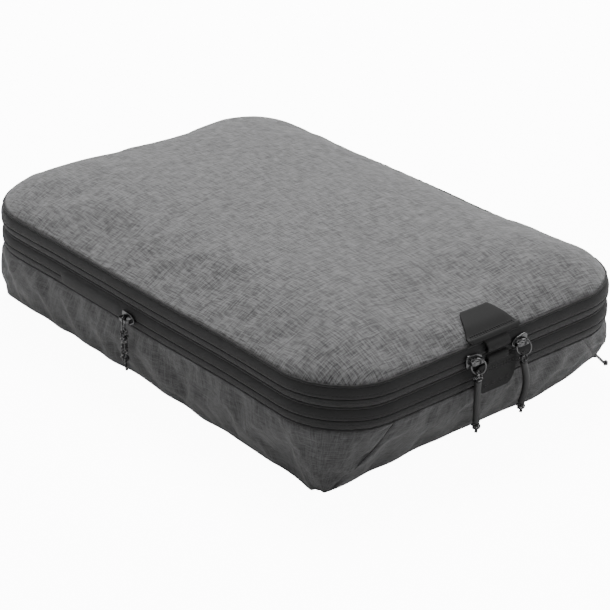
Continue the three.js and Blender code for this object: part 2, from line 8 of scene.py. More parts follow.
# %% Load the frame
import json
from math import cos, exp, pi, radians, sin, sqrt

import bmesh
import bpy
from mathutils import Matrix, Vector, noise


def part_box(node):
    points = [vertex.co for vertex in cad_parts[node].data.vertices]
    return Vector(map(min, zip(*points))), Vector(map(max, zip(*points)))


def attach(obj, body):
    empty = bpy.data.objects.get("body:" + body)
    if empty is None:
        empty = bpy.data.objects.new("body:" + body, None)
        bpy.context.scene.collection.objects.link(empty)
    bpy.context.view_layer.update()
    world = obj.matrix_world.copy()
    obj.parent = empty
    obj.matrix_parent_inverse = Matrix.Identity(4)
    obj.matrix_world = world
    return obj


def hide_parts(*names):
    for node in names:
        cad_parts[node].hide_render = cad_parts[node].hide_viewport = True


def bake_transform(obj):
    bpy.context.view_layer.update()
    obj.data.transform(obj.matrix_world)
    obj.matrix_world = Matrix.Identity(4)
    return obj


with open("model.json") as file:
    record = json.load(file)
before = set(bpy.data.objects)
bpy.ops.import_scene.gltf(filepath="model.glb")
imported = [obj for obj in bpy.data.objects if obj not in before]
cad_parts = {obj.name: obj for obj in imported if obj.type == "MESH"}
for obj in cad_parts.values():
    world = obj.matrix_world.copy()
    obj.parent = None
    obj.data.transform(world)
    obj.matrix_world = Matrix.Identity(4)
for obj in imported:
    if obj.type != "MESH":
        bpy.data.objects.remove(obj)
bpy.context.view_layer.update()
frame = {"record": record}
MM = 0.001
for name in ("Cube", "Light", "Camera"):
    if name in bpy.data.objects:
        bpy.data.objects.remove(bpy.data.objects[name])

# %% [markdown]
# The camera comes first, because the framing decides how fine each piece has to be. It stands
# in front of the left corner, a little above, with a long lens so that the box stays calm.

# %% Camera
CAMERA_TURN = radians(-39.85)
CAMERA_RISE = radians(25.5)
CAMERA_REACH = 1.182
back = Vector((sin(CAMERA_TURN) * cos(CAMERA_RISE), -cos(CAMERA_TURN) * cos(CAMERA_RISE), sin(CAMERA_RISE)))
camera_data = bpy.data.cameras.new("studio_camera")
camera_data.lens = 112.1
camera_data.sensor_width = 36
camera_data.shift_x = 0.0205
camera_data.shift_y = -0.0541
camera = bpy.data.objects.new("studio_camera", camera_data)
camera.location = Vector((0, 0, 0.040)) + back * CAMERA_REACH
camera.rotation_mode = "QUATERNION"
camera.rotation_quaternion = back.to_track_quat("Z", "Y")
bpy.context.scene.collection.objects.link(camera)
bpy.context.scene.camera = camera
print("camera at", [round(c, 3) for c in camera.location])

# %% [markdown]
# Everything on this cube runs round one outline: a rectangle with round corners. The outline is
# walked as eight sections, four straights and four corners, so that a point with the same share
# of the way round lies on the same corner whatever the rectangle's size. A wall can then be
# lofted from the nearly square base up to the rounder zip without twisting.

# %% The outline
tape_low, tape_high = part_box("main_zip_tape_upper")
HALF_X = tape_high[0] + 0.2 * MM
HALF_Y = tape_high[1] + 0.2 * MM
RADIUS = 47 * MM
base_low, base_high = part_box("base_panel")
BASE_X, BASE_Y = base_high[0], base_high[1]
BASE_RADIUS = 7 * MM
LOW_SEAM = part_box("low_seam_piping")[1][2]
MID_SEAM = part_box("mid_seam_binding")[0][2] + 0.4 * MM
TOP_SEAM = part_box("top_seam_piping")[0][2]
COMP_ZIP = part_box("compression_zip_tape_upper")[0][2] - 0.5 * MM
MAIN_ZIP = tape_low[2] - 0.5 * MM
SEAM_INSET = 2.3 * MM

STRAIGHTS = [2 * (HALF_X - RADIUS), 2 * (HALF_Y - RADIUS)]
ARC = pi * RADIUS / 2
SECTIONS = [STRAIGHTS[0], ARC, STRAIGHTS[1], ARC, STRAIGHTS[0], ARC, STRAIGHTS[1], ARC]
PERIMETER = sum(SECTIONS)


def outline(u, half_x=HALF_X, half_y=HALF_Y, radius=RADIUS):
    """Point and outward direction at a share u of the way round, from the front's left end."""
    distance = (u % 1.0) * PERIMETER
    k = 0
    while k < 7 and distance > SECTIONS[k]:
        distance -= SECTIONS[k]
        k += 1
    t = min(1.0, distance / SECTIONS[k])
    cx, cy = half_x - radius, half_y - radius
    corners = [Vector((-cx, -cy, 0)), Vector((cx, -cy, 0)), Vector((cx, cy, 0)), Vector((-cx, cy, 0))]
    side = k // 2
    if k % 2 == 0:
        angle = radians(-90 + 90 * side)
        centre = corners[side].lerp(corners[(side + 1) % 4], t)
    else:
        angle = radians(-90 + 90 * side + 90 * t)
        centre = corners[(side + 1) % 4]
    out = Vector((cos(angle), sin(angle), 0))
    return centre + out * radius, out


def columns(step):
    """Shares round the outline about a step apart, with one on each end of each section."""
    shares, start = [], 0.0
    for length in SECTIONS:
        count = max(4, round(length / step))
        shares += [(start + length * i / count) / PERIMETER for i in range(count)]
        start += length
    return shares + [1.0]


print("outline", round(2 * HALF_X / MM), "by", round(2 * HALF_Y / MM), "mm, perimeter", round(PERIMETER / MM))

# %% [markdown]
# Cloth, tape and cord are all made in the same way: a flat grid that is laid into place point by
# point. One helper makes the grid, closes it on itself where it goes all the way round, and
# keeps a UV map in metres, so that a weave keeps its thread size on every piece.

# %% Laying a grid into place
def surface(name, us, vs, place, uv, close_u=False, close_v=False):
    """A grid with a column for each u and a row for each v; place and uv say where each goes."""
    bm = bmesh.new()
    bmesh.ops.create_grid(bm, x_segments=len(us) - 1, y_segments=len(vs) - 1, size=0.5)
    layer = bm.loops.layers.uv.new("UVMap")
    share = {}
    for vert in bm.verts:
        i = round((vert.co.x + 0.5) * (len(us) - 1))
        j = round((vert.co.y + 0.5) * (len(vs) - 1))
        share[vert] = (us[i], vs[j])
    for face in bm.faces:
        face.smooth = True
        for loop in face.loops:
            loop[layer].uv = uv(*share[loop.vert])
    for vert in bm.verts:
        vert.co = place(*share[vert])
    if close_u or close_v:
        bmesh.ops.remove_doubles(bm, verts=bm.verts, dist=1e-6)
    if close_u and close_v:
        bmesh.ops.recalc_face_normals(bm, faces=bm.faces)
    return piece_from(bm, name)


def piece_from(bm, name):
    mesh = bpy.data.meshes.new(name)
    bm.to_mesh(mesh)
    bm.free()
    piece = bpy.data.objects.new(name, mesh)
    bpy.context.scene.collection.objects.link(piece)
    return piece


def steps(low, high, count):
    """count + 1 evenly spaced values from low to high."""
    return [low + (high - low) * i / count for i in range(count + 1)]


def turn_faces(bm, direction):
    """Turns every face over if most of their area looks away from direction."""
    if sum(face.normal.dot(Vector(direction)) * face.calc_area() for face in bm.faces) < 0:
        bmesh.ops.reverse_faces(bm, faces=bm.faces)


def face_towards(piece, direction):
    bm = bmesh.new()
    bm.from_mesh(piece.data)
    turn_faces(bm, direction)
    bm.to_mesh(piece.data)
    bm.free()


def thicken(piece, thickness, offset=-1):
    shell = piece.modifiers.new("thickness", "SOLIDIFY")
    shell.thickness = thickness
    shell.offset = offset
    return shell


def settle_in(piece, body, slot, material, *nodes):
    """Gives a piece its material and body, and lets it stand for CAD nodes; slot is not used."""
    piece.data.materials.clear()
    piece.data.materials.append(material)
    if nodes:
        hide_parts(*nodes)
    if body:
        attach(piece, body)
    return piece


# %% [markdown]
# A cord, a ring and a seam piping are tubes. The tube helper carries a small frame along the
# path without letting it spin, and closes the ends by shrinking the last rings to a point.

# %% Sweeping a tube
def frames_along(points, closed):
    """Tangent and two side directions at each point, carried along without twist."""
    count = len(points)
    tangents = []
    for i in range(count):
        before = points[(i - 1) % count] if closed or i else points[0]
        after = points[(i + 1) % count] if closed or i < count - 1 else points[-1]
        tangents.append((after - before).normalized())
    side = tangents[0].orthogonal().normalized()
    result = []
    for tangent in tangents:
        side = (side - tangent * side.dot(tangent)).normalized()
        result.append((tangent, side, tangent.cross(side)))
    return result


def tube(name, points, radius, sides=8, closed=False, flat=1.0):
    """A tube along points. radius is a length, or a function of the share of the way along."""
    points = [Vector(p) for p in points]
    carried = frames_along(points, closed)
    reach = [0.0]
    for a, b in zip(points, points[1:] + points[:1]):
        reach.append(reach[-1] + (b - a).length)
    size = radius if callable(radius) else (lambda t: radius)
    count = len(points)
    rows = list(range(count + 1)) if closed else [-1] + list(range(count)) + [count]

    def place(row, turn):
        k = row % count if closed else min(max(row, 0), count - 1)
        _, side, up = carried[k]
        wide = size(k / (count - 1)) if closed or 0 <= row < count else 0.0
        angle = 2 * pi * turn
        return points[k] + side * (wide * cos(angle)) + up * (wide * flat * sin(angle))

    def uv(row, turn):
        k = min(max(row, 0), count)
        return reach[k], turn * 2 * pi * size(0.5)

    return surface(name, rows, steps(0, 1, sides), place, uv, close_u=True, close_v=True)


def smooth_path(points, count):
    """Catmull-Rom curve through the points, as count + 1 points."""
    pts = [Vector(p) for p in points]
    pts = [pts[0] * 2 - pts[1]] + pts + [pts[-1] * 2 - pts[-2]]
    spans = len(pts) - 3
    result = []
    for i in range(count + 1):
        x = min(i / count * spans, spans - 1e-6)
        k, t = int(x), x - int(x)
        a, b, c, d = pts[k:k + 4]
        result.append(0.5 * ((2 * b) + (c - a) * t + (2 * a - 5 * b + 4 * c - d) * t * t
                             + (3 * b - a - 3 * c + d) * t ** 3))
    return result


def joined(name, parts):
    """Several pieces as one mesh."""
    bm = bmesh.new()
    for part in parts:
        bm.from_mesh(part.data)
        bpy.data.objects.remove(part)
    return piece_from(bm, name)


print("helpers: surface, tube, smooth_path, joined")


# %% [markdown]
# The cloth is a heathered weave: yarns of mixed grey cross each other, so each yarn shows as a
# short pale or dark streak along or across the cloth. Two stretched noises make the yarns, a
# checker picks which of them lies on top, and a wave gives each yarn its round back. The group
# only gives out a colour and a height, so every cloth here can use it with its own greys.

# %% Heathered weave, as a node group
def socket(group, name, way, kind="NodeSocketFloat", value=None):
    made = group.interface.new_socket(name=name, in_out=way, socket_type=kind)
    if value is not None:
        made.default_value = value


def node(tree, kind, links=(), **values):
    """Adds a node, sets its values by input number or property name, and links its inputs."""
    made = tree.nodes.new(kind)
    for key, value in values.items():
        if key.startswith("in"):
            made.inputs[int(key[2:])].default_value = value
        else:
            setattr(made, key, value)
    for index, source in links:
        tree.links.new(source, made.inputs[index])
    return made


def feed(tree, made, *values):
    """Gives a node's inputs, as (number, value) pairs, plain values or links to other nodes."""
    for index, value in values:
        if isinstance(value, (int, float, tuple)):
            made.inputs[index].default_value = value
        else:
            tree.links.new(value, made.inputs[index])


def math_node(tree, operation, a, b=0.0, c=0.5, clamp=False):
    made = tree.nodes.new("ShaderNodeMath")
    made.operation = operation
    made.use_clamp = clamp
    feed(tree, made, (0, a), (1, b), (2, c))
    return made.outputs[0]


def mix_color(tree, factor, a, b):
    made = tree.nodes.new("ShaderNodeMix")
    made.data_type = "RGBA"
    feed(tree, made, (0, factor), (6, a), (7, b))
    return made.outputs[2]


def mix_value(tree, factor, a, b):
    made = tree.nodes.new("ShaderNodeMix")
    feed(tree, made, (0, factor), (2, a), (3, b))
    return made.outputs[0]


def combine(tree, x, y, z):
    made = tree.nodes.new("ShaderNodeCombineXYZ")
    feed(tree, made, (0, x), (1, y), (2, z))
    return made.outputs[0]


def heather_group():
    tree = bpy.data.node_groups.new("heather_weave", "ShaderNodeTree")
    socket(tree, "Vector", "INPUT", "NodeSocketVector")
    socket(tree, "Yarn", "INPUT", value=0.0006)
    socket(tree, "Streak", "INPUT", value=13.0)
    socket(tree, "Contrast", "INPUT", value=1.0)
    socket(tree, "Dark", "INPUT", "NodeSocketColor", (0.05, 0.05, 0.05, 1))
    socket(tree, "Light", "INPUT", "NodeSocketColor", (0.2, 0.2, 0.2, 1))
    socket(tree, "Color", "OUTPUT", "NodeSocketColor")
    socket(tree, "Height", "OUTPUT")
    given = tree.nodes.new("NodeGroupInput")
    yarn = given.outputs["Yarn"]
    split = node(tree, "ShaderNodeSeparateXYZ", [(0, given.outputs["Vector"])])
    x = math_node(tree, "DIVIDE", split.outputs[0], yarn)
    y = math_node(tree, "DIVIDE", split.outputs[1], yarn)
    x_long = math_node(tree, "DIVIDE", x, given.outputs["Streak"])
    y_long = math_node(tree, "DIVIDE", y, given.outputs["Streak"])
    streaks = dict(in2=0.75, in3=2.0, in4=0.6)  # scale, detail and roughness of both noises
    warp = node(tree, "ShaderNodeTexNoise", [(0, combine(tree, x, y_long, 3.7))], **streaks)
    weft = node(tree, "ShaderNodeTexNoise", [(0, combine(tree, x_long, y, 8.3))], **streaks)
    top = node(tree, "ShaderNodeTexChecker", [(0, combine(tree, x, y, 0.5))], in3=1.0)
    shade = mix_value(tree, top.outputs[1], warp.outputs[0], weft.outputs[0])
    both = math_node(tree, "ADD", warp.outputs[0], weft.outputs[0])
    both = math_node(tree, "MULTIPLY", both, 0.5)
    mixed = math_node(tree, "ADD", math_node(tree, "MULTIPLY", shade, 0.45),
                      math_node(tree, "MULTIPLY", both, 0.55))
    centred = math_node(tree, "SUBTRACT", mixed, 0.5)
    strong = math_node(tree, "MULTIPLY", centred, given.outputs["Contrast"])
    factor = math_node(tree, "MULTIPLY_ADD", strong, 3.4, 0.5, clamp=True)
    color = mix_color(tree, factor, given.outputs["Dark"], given.outputs["Light"])
    back_x, back_y = [
        math_node(tree, "ABSOLUTE", math_node(tree, "SINE", math_node(tree, "MULTIPLY", along, pi)))
        for along in (x, y)]
    relief = mix_value(tree, top.outputs[1], back_x, back_y)
    height = math_node(tree, "ADD", relief, math_node(tree, "MULTIPLY", mixed, 1.5))
    given_out = tree.nodes.new("NodeGroupOutput")
    tree.links.new(color, given_out.inputs["Color"])
    tree.links.new(height, given_out.inputs["Height"])
    return tree


HEATHER = heather_group()
print("group", HEATHER.name, "made")

# %% [markdown]
# A cloudy dirt and wear mask is shared by the tape, the tabs and the metal: a soft noise at the
# size of a fingertip that lightens some patches a little and keeps a surface from looking cast.

# %% Cloudy wear, as a node group
def cloud_group():
    tree = bpy.data.node_groups.new("cloudy_wear", "ShaderNodeTree")
    socket(tree, "Vector", "INPUT", "NodeSocketVector")
    socket(tree, "Size", "INPUT", value=0.02)
    socket(tree, "Amount", "INPUT", value=0.3)
    socket(tree, "Color", "INPUT", "NodeSocketColor", (0.1, 0.1, 0.1, 1))
    socket(tree, "Worn", "INPUT", "NodeSocketColor", (0.2, 0.2, 0.2, 1))
    socket(tree, "Color", "OUTPUT", "NodeSocketColor")
    socket(tree, "Mask", "OUTPUT")
    given = tree.nodes.new("NodeGroupInput")
    scaled = node(tree, "ShaderNodeVectorMath", [(0, given.outputs["Vector"])], operation="SCALE")
    tree.links.new(math_node(tree, "DIVIDE", 1.0, given.outputs["Size"]), scaled.inputs["Scale"])
    cloud = node(tree, "ShaderNodeTexNoise", [(0, scaled.outputs[0])], in2=1.0, in3=4.0, in4=0.55)
    above = math_node(tree, "SUBTRACT", cloud.outputs[0], 0.35)
    mask = math_node(tree, "MULTIPLY", above, 2.2, clamp=True)
    mask = math_node(tree, "MULTIPLY", mask, given.outputs["Amount"])
    given_out = tree.nodes.new("NodeGroupOutput")
    color = mix_color(tree, mask, given.outputs["Color"], given.outputs["Worn"])
    tree.links.new(color, given_out.inputs["Color"])
    tree.links.new(mask, given_out.inputs["Mask"])
    return tree


CLOUD = cloud_group()


def fresh_material(name, roughness, metallic=0.0, sheen=0.0, specular=0.5):
    material = bpy.data.materials.new(name)
    material.use_nodes = True
    tree = material.node_tree
    bsdf = tree.nodes["Principled BSDF"]
    bsdf.inputs["Roughness"].default_value = roughness
    bsdf.inputs["Metallic"].default_value = metallic
    bsdf.inputs["Sheen Weight"].default_value = sheen
    bsdf.inputs["Specular IOR Level"].default_value = specular
    return material, tree, bsdf


def bump(tree, bsdf, height, distance, strength=1.0):
    made = tree.nodes.new("ShaderNodeBump")
    made.inputs["Strength"].default_value = strength
    made.inputs["Distance"].default_value = distance
    tree.links.new(height, made.inputs["Height"])
    tree.links.new(made.outputs[0], bsdf.inputs["Normal"])


def grey(value):
    """A grey that is just on the cool side, as dyed polyester is."""
    return value, value, value * 1.012, 1


def cloud_node(tree, where, size, amount):
    cloud = node(tree, "ShaderNodeGroup", [(0, where.outputs["Object"])], node_tree=CLOUD)
    cloud.inputs["Size"].default_value = size
    cloud.inputs["Amount"].default_value = amount
    return cloud


print("group", CLOUD.name, "made")

# %% [markdown]
# Three cloths share the weave: the thick melange of the lid, the thinner and darker side cloth
# with a faint ripstop grid, and the pale lining.

# %% Cloth materials
def heather_cloth(name, source, yarn, dark, light, contrast, grid=0.0, relief=0.00006, sheen=0.25):
    """source is object or uv, yarn a thread's width and grid the spacing of its ripstop lines."""
    material, tree, bsdf = fresh_material(name, 0.82, sheen=sheen, specular=0.25)
    where = tree.nodes.new("ShaderNodeTexCoord")
    vector = where.outputs["Object" if source == "object" else "UV"]
    weave = node(tree, "ShaderNodeGroup", node_tree=HEATHER)
    tree.links.new(vector, weave.inputs["Vector"])
    weave.inputs["Yarn"].default_value = yarn
    weave.inputs["Contrast"].default_value = contrast
    weave.inputs["Dark"].default_value = grey(dark)
    weave.inputs["Light"].default_value = grey(light)
    cloud = cloud_node(tree, where, 0.035, 0.22)
    tree.links.new(weave.outputs["Color"], cloud.inputs["Color"])
    cloud.inputs["Worn"].default_value = grey(light * 0.9)
    height = weave.outputs["Height"]
    color = cloud.outputs["Color"]
    if grid:
        split = node(tree, "ShaderNodeSeparateXYZ", [(0, vector)])
        lines = []
        for axis in (0, 1):
            phase = math_node(tree, "FRACT", math_node(tree, "DIVIDE", split.outputs[axis], grid))
            lines.append(math_node(tree, "LESS_THAN", phase, 0.14))
        line = math_node(tree, "MAXIMUM", lines[0], lines[1])
        height = math_node(tree, "ADD", height, math_node(tree, "MULTIPLY", line, 1.2))
        color = mix_color(tree, math_node(tree, "MULTIPLY", line, 0.16), color, grey(light * 1.3))
    tree.links.new(color, bsdf.inputs["Base Color"])
    bump(tree, bsdf, height, relief, 0.8)
    return material


lid_cloth = heather_cloth("lid_cloth", "object", 0.00044, 0.040, 0.200, contrast=1.5)
wall_cloth = heather_cloth("side_cloth", "uv", 0.00036, 0.026, 0.112, contrast=1.05, grid=0.0044)
pale_lining = heather_cloth("pale_lining", "uv", 0.0004, 0.16, 0.30, contrast=0.5,
                            relief=0.00003, sheen=0.1)
print("cloths:", lid_cloth.name, wall_cloth.name, pale_lining.name)

# %% [markdown]
# Zip tape is a dense dark weave. On this cube the zip's coil is turned to the inside, so from
# outside one sees two plain tapes that meet in a thin line with a row of tiny stitches beside
# it. The UV map's second coordinate is the distance from that line, which places the stitches.

# %% Tape, coil, piping and thread materials
RIB_PITCH = 0.0009  # the tape's diagonal ribs
STITCH_ROW = 0.0021  # from the line where the tapes meet to the row of stitches
STITCH_PITCH = 0.0022
BRAID_PITCH = 0.0011


def tape_material():
    material, tree, bsdf = fresh_material("zip_tape", 0.74, sheen=0.12, specular=0.3)
    where = tree.nodes.new("ShaderNodeTexCoord")
    split = node(tree, "ShaderNodeSeparateXYZ", [(0, where.outputs["UV"])])
    along, across = split.outputs[0], split.outputs[1]
    from_line = math_node(tree, "ABSOLUTE", across)
    slant = math_node(tree, "ADD", along, from_line)
    ribs = math_node(tree, "SINE", math_node(tree, "MULTIPLY", slant, 2 * pi / RIB_PITCH))
    ribs = math_node(tree, "MULTIPLY_ADD", ribs, 0.5, 0.5)
    off_row = math_node(tree, "ABSOLUTE", math_node(tree, "SUBTRACT", from_line, STITCH_ROW))
    row = math_node(tree, "LESS_THAN", off_row, 0.0004)
    in_stitch = math_node(tree, "FRACT", math_node(tree, "DIVIDE", along, STITCH_PITCH))
    dash = math_node(tree, "LESS_THAN", in_stitch, 0.6)
    stitch = math_node(tree, "MULTIPLY", row, dash)
    # painted shade: within 0.7 mm of the line where the two tapes meet the tape is darkened, standing in for
    # the shade in the gap between them
    edge = math_node(tree, "LESS_THAN", from_line, 0.0007)
    cloud = cloud_node(tree, where, 0.012, 0.35)
    cloud.inputs["Color"].default_value = grey(0.0125)
    cloud.inputs["Worn"].default_value = grey(0.020)
    color = mix_color(tree, math_node(tree, "MULTIPLY", ribs, 0.3), cloud.outputs["Color"], grey(0.026))
    color = mix_color(tree, math_node(tree, "MULTIPLY", stitch, 0.7), color, grey(0.003))
    # mixes in the painted shade beside the line where the tapes meet
    color = mix_color(tree, math_node(tree, "MULTIPLY", edge, 0.7), color, grey(0.004))
    tree.links.new(color, bsdf.inputs["Base Color"])
    height = math_node(tree, "SUBTRACT", math_node(tree, "MULTIPLY", ribs, 0.5), stitch)
    bump(tree, bsdf, height, 0.0002, 1.0)
    return material


def simple_material(name, value, worn, roughness, metallic=0.0, size=0.006, amount=0.6,
                    relief=0.00004, sheen=0.0, coat=0.0):
    """A plain finish that goes from the grey value to the grey worn in cloudy patches."""
    material, tree, bsdf = fresh_material(name, roughness, metallic, sheen)
    bsdf.inputs["Coat Weight"].default_value = coat
    bsdf.inputs["Coat Roughness"].default_value = 0.25
    where = tree.nodes.new("ShaderNodeTexCoord")
    cloud = cloud_node(tree, where, size, amount)
    cloud.inputs["Color"].default_value = grey(value)
    cloud.inputs["Worn"].default_value = grey(worn)
    tree.links.new(cloud.outputs["Color"], bsdf.inputs["Base Color"])
    grain = node(tree, "ShaderNodeTexNoise", [(0, where.outputs["Object"])],
                 in2=3200.0, in3=3.0, in4=0.6)
    rough = math_node(tree, "MULTIPLY_ADD", grain.outputs[0], 0.22, roughness - 0.11)
    tree.links.new(rough, bsdf.inputs["Roughness"])
    bump(tree, bsdf, grain.outputs[0], relief, 0.7)
    return material


def cord_material():
    material, tree, bsdf = fresh_material("braided_cord", 0.45, sheen=0.1)
    where = tree.nodes.new("ShaderNodeTexCoord")
    split = node(tree, "ShaderNodeSeparateXYZ", [(0, where.outputs["UV"])])
    diagonal = math_node(tree, "ADD", split.outputs[0], split.outputs[1])
    other = math_node(tree, "SUBTRACT", split.outputs[0], split.outputs[1])
    strand = math_node(tree, "SINE", math_node(tree, "MULTIPLY", diagonal, 2 * pi / BRAID_PITCH))
    cross = math_node(tree, "SINE", math_node(tree, "MULTIPLY", other, 2 * pi / BRAID_PITCH))
    braid = math_node(tree, "MULTIPLY", strand, cross)
    speck = node(tree, "ShaderNodeTexNoise", [(0, where.outputs["Object"])],
                 in2=900.0, in3=1.0, in4=0.5)
    on_strand = math_node(tree, "MULTIPLY_ADD", strand, 0.2, 0.78)
    fleck = math_node(tree, "GREATER_THAN",
                      math_node(tree, "MULTIPLY", speck.outputs[0], on_strand), 0.50)
    color = mix_color(tree, fleck, grey(0.008), grey(0.55))
    tree.links.new(color, bsdf.inputs["Base Color"])
    bump(tree, bsdf, braid, 0.00015, 0.9)
    return material


zip_tape = tape_material()
zip_coil = simple_material("zip_coil", 0.008, 0.02, 0.42, size=0.004)
strip_cloth = simple_material("strip_cloth", 0.009, 0.016, 0.8, size=0.01, relief=0.00006,
                              sheen=0.1)
piping_cloth = simple_material("seam_piping", 0.004, 0.009, 0.85, size=0.003, relief=0.0001,
                               sheen=0.1)
tab_rubber = simple_material("tab_sheet", 0.0058, 0.0092, 0.82, size=0.01, amount=0.5,
                             relief=0.00003)
thread = simple_material("sewing_thread", 0.006, 0.012, 0.6, size=0.002)
gunmetal = simple_material("gunmetal", 0.075, 0.19, 0.22, metallic=0.9, size=0.003,
                           relief=0.00002, coat=0.3)
sleeve_rubber = simple_material("pull_sleeve", 0.021, 0.033, 0.42, size=0.006, relief=0.00003)
cord_braid = cord_material()
print("materials:", len(bpy.data.materials))

# %% [markdown]
# Soft cloth is best made soft: each cloth shell starts at its sewn shape, is let grow by a few
# percent with its edges held, as cloth that is cut a little too large for its frame, and a short
# simulation finds its wrinkles. A cap keeps every point near its sewn place.

# %% Letting cloth settle
def settle(piece, pinned, growth, pressure, cap, bending, frames=22):
    """Runs a short cloth simulation with the pinned points held, and keeps the result."""
    before = [v.co.copy() for v in piece.data.vertices]
    group = piece.vertex_groups.new(name="held")
    group.add(pinned, 1.0, "REPLACE")
    cloth = piece.modifiers.new("cloth", "CLOTH")
    cloth.settings.vertex_group_mass = "held"
    cloth.settings.quality = 6
    cloth.settings.mass = 0.15
    cloth.settings.tension_stiffness = 12
    cloth.settings.compression_stiffness = 12
    cloth.settings.shear_stiffness = 6
    cloth.settings.bending_stiffness = bending
    cloth.settings.shrink_min = -growth
    cloth.settings.use_pressure = True
    cloth.settings.uniform_pressure_force = pressure
    cloth.settings.effector_weights.gravity = 0
    cloth.collision_settings.use_collision = False
    cloth.point_cache.frame_start = 1
    cloth.point_cache.frame_end = frames
    scene = bpy.context.scene
    for number in range(1, frames + 1):
        scene.frame_set(number)
    seen = piece.evaluated_get(bpy.context.evaluated_depsgraph_get())
    after = [v.co.copy() for v in seen.data.vertices]
    piece.modifiers.remove(cloth)
    piece.vertex_groups.remove(group)
    scene.frame_set(1)
    farthest = 0.0
    for vert, old, new in zip(piece.data.vertices, before, after):
        move = new - old
        farthest = max(farthest, move.length)
        if move.length > cap:
            move *= cap / move.length
        vert.co = old + move
    print(piece.name, "settled, farthest point", round(farthest / MM, 1), "mm")


def finish_cloth(piece, thickness, levels=1, inward=True):
    """One subdivision and a thickness, kept as live modifiers."""
    fine = piece.modifiers.new("fine", "SUBSURF")
    fine.levels = levels
    fine.render_levels = levels
    thicken(piece, thickness, -1 if inward else 1).use_even_offset = False


print("helpers: settle, finish_cloth")

# %% [markdown]
# The walls are one sleeve of cloth between the base seam and the lower zip. It is lofted as one
# shell, wrinkled as one shell, and only then cut into its four sewn panels, so that the folds
# run on across the corner seams. The base seam wanders a little, and the front right corner is
# lifted, as it is on a stuffed cube.

# %% Base seam line and wall shell
def wander(u, scale, seed):
    """Smooth noise round the outline, the same at both ends."""
    angle = 2 * pi * u
    return noise.noise(Vector((cos(angle) * scale, sin(angle) * scale, seed)))


def smoothstep(low, high, x):
    t = min(1.0, max(0.0, (x - low) / (high - low)))
    return t * t * (3 - 2 * t)


comp_slider_y = sum(corner[1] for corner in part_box("compression_slider")) / 2
COMP_SLIDER_SHARE = 1 - (STRAIGHTS[1] / 2 + ARC - comp_slider_y) / PERIMETER


def sway(u):
    """Slow rise and fall of the sewn bands, none at the sliders."""
    u = u % 1.0
    half_front = SECTIONS[0] / 2
    to_middle = min(abs(u * PERIMETER - half_front), (1 - u) * PERIMETER + half_front)
    front = 1 - smoothstep(0, 20 * MM, to_middle - half_front)
    near_slider = 1 - smoothstep(14 * MM, 40 * MM, abs(u - COMP_SLIDER_SHARE) * PERIMETER)
    return 1.7 * MM * wander(u, 2.4, 9.1) * (1 - front) * (1 - near_slider)


def base_edge(u):
    """The base seam: it wanders, rises at the front right corner and is drawn out at the left."""
    point, out = outline(u, BASE_X, BASE_Y, BASE_RADIUS)
    corner = Vector((BASE_X, -BASE_Y, 0))
    near_lift = exp(-((point - corner).length / (30 * MM)) ** 2)
    pulled = exp(-((point + Vector((BASE_X, BASE_Y, 0))).length / (24 * MM)) ** 2)
    point = point - out * (0.3 * MM + 1.6 * MM * wander(u, 9, 4.1) + 3 * MM * near_lift - 1.4 * MM * pulled)
    point.z = 1.9 * MM + 1.3 * MM * wander(u, 11, 1.3) + 6.5 * MM * near_lift - 0.8 * MM * pulled
    return point


FRONT_END = SECTIONS[0] / PERIMETER
BACK_FIRST, BACK_LAST = sum(SECTIONS[:4]) / PERIMETER, sum(SECTIONS[:5]) / PERIMETER
SEAM_SHARES = [0.0, FRONT_END, BACK_FIRST, BACK_LAST, 1.0]
SIDE_ZIP = (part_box("side_zip_tape_upper")[0][2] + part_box("side_zip_tape_lower")[1][2]) / 2
SIDE_ZIP_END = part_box("side_zip_tape_upper")[1][1]
SIDE_ZIP_HALF = 6 * MM
SIDE_ZIP_SOFT = 2.5 * MM  # how gently its recess begins
SIDE_ZIP_DEEP = 1.7 * MM
WALL_BULGE = 3.4 * MM
WALL_UV_HIGH = 0.038
WALL_STEPS = 13


def in_side_zip(point):
    """1 where the low zip is set into the right wall, 0 away from it."""
    if point.x < 0:
        return 0.0
    end, half, soft = SIDE_ZIP_END, SIDE_ZIP_HALF, SIDE_ZIP_SOFT
    up = 1 - smoothstep(half - soft, half + soft, abs(point.z - SIDE_ZIP))
    along = 1 - smoothstep(end - soft, end + soft, abs(point.y))
    return up * along


def wall_point(u, t):
    """The sewn wall at a share u of the way round and a share t of the way up."""
    high, out = outline(u)
    high = high - out * (SEAM_INSET + 0.2 * MM)
    high.z = LOW_SEAM - 0.3 * MM + sway(u)
    place = base_edge(u).lerp(high, t)
    bulge = WALL_BULGE * sin(pi * t)
    ripple = 0.9 * MM * sin(pi * t) * noise.noise(Vector((u * 70, t * 2.5, 2.2)))
    sunk = in_side_zip(place)
    seam = min(abs(u % 1.0 - share) for share in SEAM_SHARES) * PERIMETER
    groove = 1.5 * MM * exp(-(seam / (2.6 * MM)) ** 2) * sin(pi * t) ** 0.5
    return place + out * (bulge + ripple * (1 - sunk) - SIDE_ZIP_DEEP * sunk - groove)


def wall_uv(u, t):
    return u * PERIMETER, t * WALL_UV_HIGH


ROUND = columns(3.0 * MM)
WALL_ROWS = steps(0, 1, WALL_STEPS)
wall_shell = surface("wall_shell", ROUND, WALL_ROWS, wall_point, wall_uv, close_u=True)
held = set()
for loop in wall_shell.data.loops:
    across, up = wall_shell.data.uv_layers.active.data[loop.index].uv
    on_seam = min(abs(across / PERIMETER - share) for share in SEAM_SHARES) * PERIMETER < 0.5 * MM
    if on_seam or up > WALL_UV_HIGH * 0.99 or up < WALL_UV_HIGH * 0.01:
        held.add(loop.vertex_index)
held = sorted(held)
held += [v.index for v in wall_shell.data.vertices if in_side_zip(v.co) > 0.2]
print("wall shell", len(wall_shell.data.vertices), "points,", len(held), "held")
settle(wall_shell, held, growth=0.042, pressure=0.4, cap=5.0 * MM, bending=1.6)

